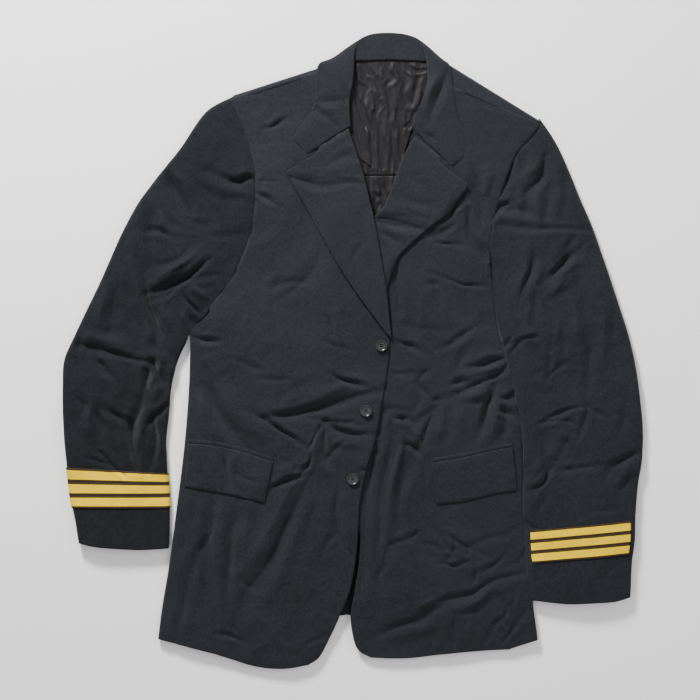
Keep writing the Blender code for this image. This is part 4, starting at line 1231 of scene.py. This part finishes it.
def mix_colour(tree, factor, first, second):
    node = tree.nodes.new("ShaderNodeMix")
    node.data_type = "RGBA"
    if isinstance(factor, float):
        node.inputs["Factor"].default_value = factor
    else:
        tree.links.new(factor, node.inputs["Factor"])
    for socket, value in ((node.inputs[MIX_FIRST], first), (node.inputs[MIX_SECOND], second)):
        if isinstance(value, tuple):
            socket.default_value = (*value, 1.0)
        else:
            tree.links.new(value, socket)
    return node.outputs[MIX_RESULT]


def bump(tree, shader, height, distance, strength=1.0):
    node = tree.nodes.new("ShaderNodeBump")
    node.inputs["Distance"].default_value = distance
    node.inputs["Strength"].default_value = strength
    tree.links.new(height, node.inputs["Height"])
    tree.links.new(node.outputs["Normal"], shader.inputs["Normal"])


def wool_material(name, shade):
    """Charcoal wool gabardine with a little lint. shade darkens a copy of the same cloth (its colours, sheen
    and specular) as painted shade where less light falls; 1.0 is the body's tone.
    """
    made, tree, shader = new_material(
        name, 0.85, Sheen_Weight=0.075 * shade, Sheen_Roughness=0.5, Specular_IOR_Level=0.15 * shade
    )
    coords = tree.nodes.new("ShaderNodeTexCoord")
    weave = place_group(tree, WEAVE, coords.outputs["UV"])
    slub = place_group(tree, WEAVE, coords.outputs["Object"], Ribs_Per_Metre=260.0, Yarn_Per_Metre=300.0)
    lint = place_group(tree, LINT, coords.outputs["Object"])
    tone = math_node(tree, "MULTIPLY", weave.outputs["Yarn"], 0.8)
    tone = math_node(tree, "ADD", tone, math_node(tree, "MULTIPLY", slub.outputs["Yarn"], 0.9))
    tone = math_node(tree, "ADD", tone, math_node(tree, "MULTIPLY", lint.outputs["Fade"], 0.4))
    tone = math_node(tree, "SUBTRACT", tone, 0.55)
    # The cloth's two colours scaled by shade: the darker copies are painted shade.
    dark = tuple(shade * value for value in (0.0019, 0.0024, 0.0032))
    light = tuple(shade * value for value in (0.0190, 0.0222, 0.0280))
    cloth = mix_colour(tree, tone, dark, light)
    speck = math_node(tree, "MULTIPLY", lint.outputs["Lint"], 0.5)
    tree.links.new(mix_colour(tree, speck, cloth, (0.30, 0.30, 0.28)), shader.inputs["Base Color"])
    bump(tree, shader, weave.outputs["Height"], 0.00030)
    return made


def satin_material():
    """Dark satin lining."""
    made, tree, shader = new_material("satin_lining", 0.60, Specular_IOR_Level=0.20, Sheen_Weight=0.06)
    coords = tree.nodes.new("ShaderNodeTexCoord")
    weave = place_group(tree, WEAVE, coords.outputs["UV"], Ribs_Per_Metre=1600.0, Yarn_Per_Metre=1500.0)
    lint = place_group(tree, LINT, coords.outputs["Object"])
    cloth = mix_colour(tree, lint.outputs["Fade"], (0.002, 0.0018, 0.0022), (0.0072, 0.0062, 0.0082))
    tree.links.new(cloth, shader.inputs["Base Color"])
    bump(tree, shader, weave.outputs["Height"], 0.00006)
    return made


def braid_material():
    """Gold braid with brown edges: the piece's UV runs from 0 to 1 across the gold."""
    made, tree, shader = new_material("gold_braid", 0.70, Specular_IOR_Level=0.06)
    coords = tree.nodes.new("ShaderNodeTexCoord")
    split = tree.nodes.new("ShaderNodeSeparateXYZ")
    tree.links.new(coords.outputs["UV"], split.inputs["Vector"])
    weave = place_group(tree, WEAVE, coords.outputs["Object"], Ribs_Per_Metre=620.0, Yarn_Per_Metre=900.0)
    lint = place_group(tree, LINT, coords.outputs["Object"])
    across = split.outputs["Y"]
    below = math_node(tree, "LESS_THAN", across, 0.0)
    above = math_node(tree, "GREATER_THAN", across, 1.0)
    edge = math_node(tree, "ADD", below, above)
    tone = math_node(tree, "MULTIPLY", weave.outputs["Height"], 0.8)
    gold = mix_colour(tree, tone, (0.62, 0.38, 0.0), (0.88, 0.60, 0.0))
    gold = mix_colour(tree, math_node(tree, "MULTIPLY", lint.outputs["Fade"], 0.25), gold, (0.80, 0.54, 0.0))
    tree.links.new(mix_colour(tree, edge, gold, (0.040, 0.026, 0.014)), shader.inputs["Base Color"])
    bump(tree, shader, weave.outputs["Height"], 0.00025)
    return made


def button_material():
    """Dark mottled horn-like plastic."""
    made, tree, shader = new_material("button", 0.26, Specular_IOR_Level=0.6, Coat_Weight=0.5)
    coords = tree.nodes.new("ShaderNodeTexCoord")
    lint = place_group(tree, LINT, coords.outputs["Object"])
    colour = mix_colour(tree, lint.outputs["Fade"], (0.012, 0.013, 0.014), (0.030, 0.032, 0.034))
    tree.links.new(colour, shader.inputs["Base Color"])
    return made


# Making of pieces.


CREASE_GAIN = 2.0
LOWEST_FOLD = 3.4
CALM_SKIRT = 0.62  # how much of a crease is left below the pockets
SKIRT_FADE = (-230.0, -150.0)
BUTTON_CLEAR = (7.0, 24.0)  # creases fade out towards a button
UPPER_BODY = (2.5, 7.0)  # heights between which a point changes from under layer to upper layer
UPPER_SLEEVE = (3.5, 9.0)
SEAM_FADE = (2.5, 5.0)
LEAF_REST = 1.5


def arc_lengths(points, axis):
    steps = np.linalg.norm(np.diff(points, axis=axis), axis=-1)
    start = np.zeros_like(np.take(steps, [0], axis=axis))
    return np.concatenate([start, np.cumsum(steps, axis=axis)], axis=axis)


def sink_edges(points, edges, depth, reach):
    """Turns the named edges down, as where they are pressed or sewn."""
    along_piece = arc_lengths(points, 0)
    across_piece = arc_lengths(points, 1)
    away = {
        "start": along_piece,
        "end": along_piece[-1:] - along_piece,
        "first": across_piece,
        "last": across_piece[:, -1:] - across_piece,
    }
    upper = smoothstep(*UPPER_BODY, points[..., 2])
    for edge in edges:
        points[..., 2] -= depth * upper * np.exp(-((away[edge] / reach) ** 2))


def tuck_under(points, uv, edge, reach, drop, fade=None):
    """Runs a piece on past one of its edges and down, under the piece that it is sewn to.

    fade is the pair of shares along the edge between which it stops, where the rest is a free edge."""
    axis = 0 if edge in ("start", "end") else 1
    order = (0, 1) if edge in ("start", "first") else (-1, -2)
    last, before = (np.take(points, [place], axis=axis) for place in order)
    way = last - before
    way /= np.maximum(np.linalg.norm(way, axis=-1, keepdims=True), 1e-6)
    last_uv, before_uv = (np.take(uv, [place], axis=axis) for place in order)
    if fade:
        shares = np.linspace(0.0, 1.0, last.shape[1 - axis])
        held = np.expand_dims(1.0 - smoothstep(fade[0], fade[1], shares), axis)
        way *= spread(0.02 + 0.98 * held)
    fall = spread(drop * smoothstep(*SEAM_FADE, last[..., 2])) * np.array([0.0, 0.0, 1.0])
    new_points = [last + (way * reach - fall) * share for share in (0.4, 1.0)]
    new_uv = [2 * last_uv - before_uv] * 2
    if edge in ("start", "first"):
        return (
            np.concatenate([*new_points[::-1], points], axis=axis),
            np.concatenate([*new_uv[::-1], uv], axis=axis),
        )
    return np.concatenate([points, *new_points], axis=axis), np.concatenate([uv, *new_uv], axis=axis)


def grid_mesh(name, points, uv):
    """A grid of cells laid on an array of points, (rows, columns, 3) in mm."""
    rows, columns = points.shape[:2]
    form = bmesh.new()
    bmesh.ops.create_grid(form, x_segments=rows - 1, y_segments=columns - 1, size=0.5)
    mesh = bpy.data.meshes.new(name)
    form.to_mesh(mesh)
    form.free()
    flat = np.empty(len(mesh.vertices) * 3)
    mesh.vertices.foreach_get("co", flat)
    flat = flat.reshape(-1, 3)
    row = np.rint((flat[:, 0] + 0.5) * (rows - 1)).astype(int)
    column = np.rint((flat[:, 1] + 0.5) * (columns - 1)).astype(int)
    placed = (points[row, column] + ZERO) * MM
    mesh.vertices.foreach_set("co", placed.ravel())
    corners = np.empty(len(mesh.loops), dtype=int)
    mesh.loops.foreach_get("vertex_index", corners)
    layer = mesh.uv_layers.new(name="cloth")
    layer.uv.foreach_set("vector", uv[row[corners], column[corners]].ravel())
    mesh.update()
    return mesh


def add_piece(name, mesh, finish, nodes):
    mesh.materials.append(finish)
    mesh.shade_smooth()
    piece = bpy.data.objects.new(name, mesh)
    bpy.context.scene.collection.objects.link(piece)
    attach(piece, BODY)
    if nodes:
        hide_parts(*nodes)
    return piece


def cells(*runs):
    """Shares across a piece from (end, cells) runs, closer together where there are more cells."""
    start = 0.0
    shares = [0.0]
    for end, count in runs:
        shares.extend(np.linspace(start, end, count + 1)[1:])
        start = end
    return np.array(shares)


def add_sheet(node, form, rows, columns, finish, shape=None, edges=(), drop=0.7,
              reach=1.8, thick=SHELL, ring=False, tucks=()):
    """A shell of cloth on a node's form. shape(points) folds the points in place."""
    u, v = np.meshgrid(rows, columns, indexing="ij")
    points = form(u, v)
    uv = np.stack([arc_lengths(points, 1), arc_lengths(points, 0)], axis=-1) * MM
    if ring:
        uv = np.stack([arc_lengths(points, 1) * MM, u], axis=-1)
    if shape:
        shape(points)
    sink_edges(points, edges, drop, reach)
    for tuck in tucks:
        points, uv = tuck_under(points, uv, *tuck)
    mesh = grid_mesh(node + "_cloth", points, uv)
    if ring:
        form_mesh = bmesh.new()
        form_mesh.from_mesh(mesh)
        bmesh.ops.remove_doubles(form_mesh, verts=form_mesh.verts, dist=1e-7)
        form_mesh.to_mesh(mesh)
        form_mesh.free()
    piece = add_piece(node + "_cloth", mesh, finish, (node,))
    wall = piece.modifiers.new("wall", "SOLIDIFY")
    wall.thickness = thick * MM
    wall.offset = 0.0
    return piece


def folds(creases, wave=3.0, small=1.7, seed=1.0, top=None, gain=1.0, more=None):
    """A function that folds a piece's upper layer: creases, broad waves and small puckers."""

    def shape(points):
        x, y = flat_places(points)
        calm = CALM_SKIRT + (1.0 - CALM_SKIRT) * smoothstep(*SKIRT_FADE, y)
        lift = CREASE_GAIN * gain * calm * crease_heights(creases, x, y)
        lift += gain * wave * ripple(x, y, 75.0, seed)
        lift += gain * small * crumple(x, y, 30.0, seed + 7.3)
        lift -= gain * small * crumple(x, y, 52.0, seed + 12.7)
        lift += gain * 0.35 * small * crumple(x, y, 13.0, seed + 3.1)
        for button_x, button_y in zip(BUTTONS["x"], BUTTONS["y"]):
            away = np.hypot(x - button_x, y - button_y)
            lift *= smoothstep(*BUTTON_CLEAR, away)
        lift = lift.reshape(points.shape[:2])
        if top is not None:
            lift *= smoothstep(*top, points[..., 2])
            lift = np.maximum(lift, np.minimum(LOWEST_FOLD - points[..., 2], 0.0))
        points[..., 2] += lift
        if more:
            more(points)

    return shape


def make_jacket():
    wool = wool_material("wool", 1.0)
    # The sleeves get darker copies of the body's wool: painted shade where less light falls on them.
    sleeve_wools_painted_shade = {
        "right": wool_material("wool_right_sleeve_painted_shade", 0.74),
        "left": wool_material("wool_left_sleeve_painted_shade", 0.92),
    }
    satin = satin_material()
    gold = braid_material()

    body_folds = folds(BODY_CREASES, top=UPPER_BODY)
    front_folds = {"right": body_folds, "left": folds(BODY_CREASES + LEFT_EDGE_CREASES, top=UPPER_BODY)}
    bodies = {
        "right": (-1, FRONT_RIGHT, HEM_RIGHT, SIDE_SEAM_RIGHT, BACK_SEAM_RIGHT, ARMHOLE_RIGHT),
        "left": (1, FRONT_LEFT, HEM_LEFT, SIDE_SEAM_LEFT, BACK_SEAM_LEFT, ARMHOLE_LEFT),
    }
    backs = {"right": (BACK_RIGHT, SHOULDER_SEAM_RIGHT), "left": (BACK_LEFT, SHOULDER_SEAM_LEFT)}
    side_folds = {"right": SIDE_FOLD_RIGHT, "left": SIDE_FOLD_LEFT}
    sleeves = {
        "right": (SLEEVE_RIGHT, ARMHOLE_RIGHT, CUFF_RIGHT, -1),
        "left": (SLEEVE_LEFT, ARMHOLE_LEFT, CUFF_LEFT, 1),
    }
    sleeve_creases = {"right": SLEEVE_RIGHT_CREASES, "left": SLEEVE_LEFT_CREASES}
    lapels = {"right": LAPEL_RIGHT, "left": LAPEL_LEFT}
    lapel_creases = {"right": LAPEL_RIGHT_CREASES, "left": LAPEL_LEFT_CREASES}
    flaps = {"right": FLAP_RIGHT, "left": FLAP_LEFT}

    for name, (side, front, hem, seam, back_seam, armhole) in bodies.items():
        back, shoulder = backs[name]
        add_sheet(
            f"front_{name}", front_form(front, seam, armhole, hem, side),
            cells((1.0, 340)), cells((1.0, 116)), wool,
            shape=front_folds[name], edges=("last", "start"), drop=0.4,
            tucks=(("first", 4.0, 1.0), ("end", 5.0, 0.25)),
        )
        add_sheet(
            f"back_{name}", back_form(back, back_seam, armhole, shoulder, side),
            cells((0.76, 120), (0.93, 14), (1.0, 10)), cells((1.0, 40)), wool,
            shape=back_folds,
        )
        add_sheet(
            f"side_{name}", side_form(side_folds[name], seam, back_seam, armhole, side),
            cells((1.0, 180)), cells((0.36, 18), (0.64, 12), (1.0, 8)), wool,
            shape=body_folds, edges=("first",), drop=0.25,
        )
        add_sheet(
            f"lapel_{name}", lapel_form(lapels[name], front, side),
            cells((1.0, 100)), cells((0.16, 10), (1.0, 56)), wool,
            shape=folds(BODY_CREASES + lapel_creases[name], gain=0.6, more=lift_lapel),
            edges=("last",), drop=0.45, tucks=(("end", 8.0, 1.0, (0.5, 0.62)),),
        )
        welt = add_sheet(
            f"welt_{name}", welt_form(flaps[name]), cells((1.0, 50)), cells((1.0, 5)), wool,
            shape=body_folds, edges=("first", "last"), drop=0.5, thick=0.9,
        )
        add_sheet(
            f"flap_{name}", flap_form(flaps[name]), cells((1.0, 50)), cells((1.0, 26)), wool,
            shape=body_folds, edges=("first", "last", "start"), drop=0.5,
        )

    for name, sleeve in sleeves.items():
        side = sleeve[3]
        shape = folds(
            sleeve_creases[name], seed=20.0, top=UPPER_SLEEVE, more=meet_body if side > 0 else None
        )
        add_sheet(
            f"sleeve_{name}_top", sleeve_top_form(sleeve), cells((1.0, 270)),
            cells((0.06, 4), (0.16, 14), (0.84, 90), (0.94, 14), (1.0, 4)), sleeve_wools_painted_shade[name],
            shape=shape, edges=("start",), drop=3.0, reach=5.0,
            tucks=(("start", 4.0, 1.4),),
        )
        add_sheet(
            f"sleeve_{name}_under", sleeve_under_form(sleeve), cells((1.0, 100)), cells((1.0, 20)),
            sleeve_wools_painted_shade[name],
        )
        for number in range(BRAID_COUNT):
            add_sheet(
                f"braid_{name}_{number + 1}", braid_form(sleeve, number), np.linspace(-0.26, 1.26, 16),
                cells((0.25, 70), (0.5, 14), (0.75, 20), (1.0, 14)), gold,
                shape=shape, thick=BRAID_THICK, ring=True,
            )

    add_sheet(
        "collar", collar_form, cells((1.0, 200)), cells((1.0, 50)), wool,
        shape=folds(COLLAR_CREASES, wave=0.8, small=0.6, seed=5.0, more=lay_leaf), edges=("start", "end"),
        drop=0.4, tucks=(("first", 3.0, 0.6),),
    )
    lining_z = BACK_Z + CLOTH / 2 + 0.3 + LINING / 2
    add_sheet(
        "lining_back_lower", strip_form(LINING_LOWER, "right", "left", lining_z),
        cells((1.0, 80)), cells((1.0, 50)), satin,
        shape=lining_folds, edges=("end",), drop=0.8, thick=0.5,
    )
    add_sheet(
        "lining_back_upper", strip_form(LINING_UPPER, "right", "left", lining_z),
        cells((1.0, 120)), cells((1.0, 90)), satin,
        shape=lining_folds, edges=("start",), drop=0.8, thick=0.5, tucks=(("end", 5.0, 0.0),),
    )
    add_sheet(
        "lining_front_right", strip_form(FACING_RIGHT, "outer", "inner", lining_z + LINING + 0.4),
        cells((1.0, 80)), cells((1.0, 30)), satin,
        shape=folds((), wave=1.2, small=0.8, seed=9.0), edges=("last",), drop=0.9, thick=0.6,
    )


def back_folds(points):
    """The back lies flat, with a few low soft swells."""
    x, y = flat_places(points)
    lift = 0.6 * np.maximum(ripple(x, y, 60.0, 31.0), 0.0)
    points[..., 2] += lift.reshape(points.shape[:2]) * smoothstep(-395.0, -300.0, points[..., 1])


def lining_folds(points):
    """Crushed satin: sharp creases that run mostly up and down, over broader swells."""
    x, y = flat_places(points)
    lift = 3.0 * crumple(x, y * 0.22, 9.0, 2.0) + 3.0 * crumple(x, y * 0.35, 20.0, 6.0)
    lift += 0.5 * crumple(x, y * 0.6, 6.0, 4.0) + 1.5 * crease_heights(LINING_CREASES, x, y)
    ends = smoothstep(392.0, 384.0, y)
    points[..., 2] += (np.maximum(lift + 0.5, -0.3) * ends).reshape(points.shape[:2])


def lay_leaf(points):
    """Lowers the collar's leaf edge on to the front under it."""
    edge = points[:, -1:]
    away = np.linalg.norm(points - edge, axis=-1)
    rest = front_height(edge[..., 0], edge[..., 1]) + LEAF_REST
    fall = np.maximum(edge[..., 2] - rest, 0.0) * smoothstep(395.0, 375.0, edge[..., 1])
    points[..., 2] -= fall * np.exp(-((away / 14.0) ** 2))


def lift_lapel(points):
    """Stands a lapel's outer edge a little off the front, as a pressed roll does."""
    columns = np.linspace(0.0, 1.0, points.shape[1])
    points[..., 2] += 1.5 * smoothstep(0.35, 1.0, columns)[None, :]


def meet_body(points):
    """Moves the left sleeve's inner fold over to touch the body."""
    columns = np.linspace(0.0, 1.0, points.shape[1])
    along_sleeve = smoothstep(60.0, 20.0, points[..., 1])
    over = 2.4 + 4.2 * smoothstep(-90.0, -290.0, points[..., 1])
    points[..., 0] -= over * smoothstep(0.72, 0.95, columns)[None, :] * along_sleeve


def finish_buttons():
    button = button_material()
    for number in range(1, 4):
        node = bpy.data.objects[f"button_{number}"]
        for place in node.material_slots:
            place.material = button


FLOOR_GAP = 0.0003

# Lamps: name, place and size in metres, power in watts.
LAMPS = (
    ("key", (-0.72, 1.72, 1.05), 0.5, 116.0),
    ("fill", (1.4, 0.3, 1.6), 1.6, 16.0),
    ("low", (-0.6, -1.6, 1.8), 1.4, 12.0),
)
WORLD_STRENGTH = 0.50
CAMERA_PLACE = (-0.0037, 0.0002, 2.243)


def make_surroundings():
    """A pale floor, a soft key light from the collar side and a camera straight above."""
    floor_material, tree, shader = new_material("floor", 0.9)
    grain = tree.nodes.new("ShaderNodeTexNoise")
    grain.inputs["Scale"].default_value = 3.0
    tone = mix_colour(tree, grain.outputs["Fac"], (0.86, 0.86, 0.86), (0.90, 0.90, 0.90))
    tree.links.new(tone, shader.inputs["Base Color"])
    form = bmesh.new()
    bmesh.ops.create_grid(form, x_segments=2, y_segments=2, size=3.0)
    mesh = bpy.data.meshes.new("floor")
    form.to_mesh(mesh)
    form.free()
    mesh.materials.append(floor_material)
    floor = bpy.data.objects.new("floor", mesh)
    floor.location.z = CAD_BOX[0][2] - FLOOR_GAP
    bpy.context.scene.collection.objects.link(floor)

    middle = Vector(((CAD_BOX[0][0] + CAD_BOX[1][0]) / 2, (CAD_BOX[0][1] + CAD_BOX[1][1]) / 2, 0.0))
    for name, place, size, power in LAMPS:
        data = bpy.data.lights.new(name, "AREA")
        data.shape = "DISK"
        data.size = size
        data.energy = power
        lamp = bpy.data.objects.new(name, data)
        lamp.location = place
        lamp.rotation_euler = (middle - lamp.location).to_track_quat("-Z", "Y").to_euler()
        bpy.context.scene.collection.objects.link(lamp)

    world = bpy.data.worlds.new("studio")
    world.use_nodes = True
    world.node_tree.nodes["Background"].inputs["Color"].default_value = (1.0, 1.0, 1.0, 1.0)
    world.node_tree.nodes["Background"].inputs["Strength"].default_value = WORLD_STRENGTH
    bpy.context.scene.world = world

    data = bpy.data.cameras.new("camera")
    data.lens = 85.0
    data.sensor_width = 36.0
    camera = bpy.data.objects.new("camera", data)
    camera.location = CAMERA_PLACE
    bpy.context.scene.collection.objects.link(camera)
    bpy.context.scene.camera = camera


make_surroundings()
make_jacket()
finish_buttons()
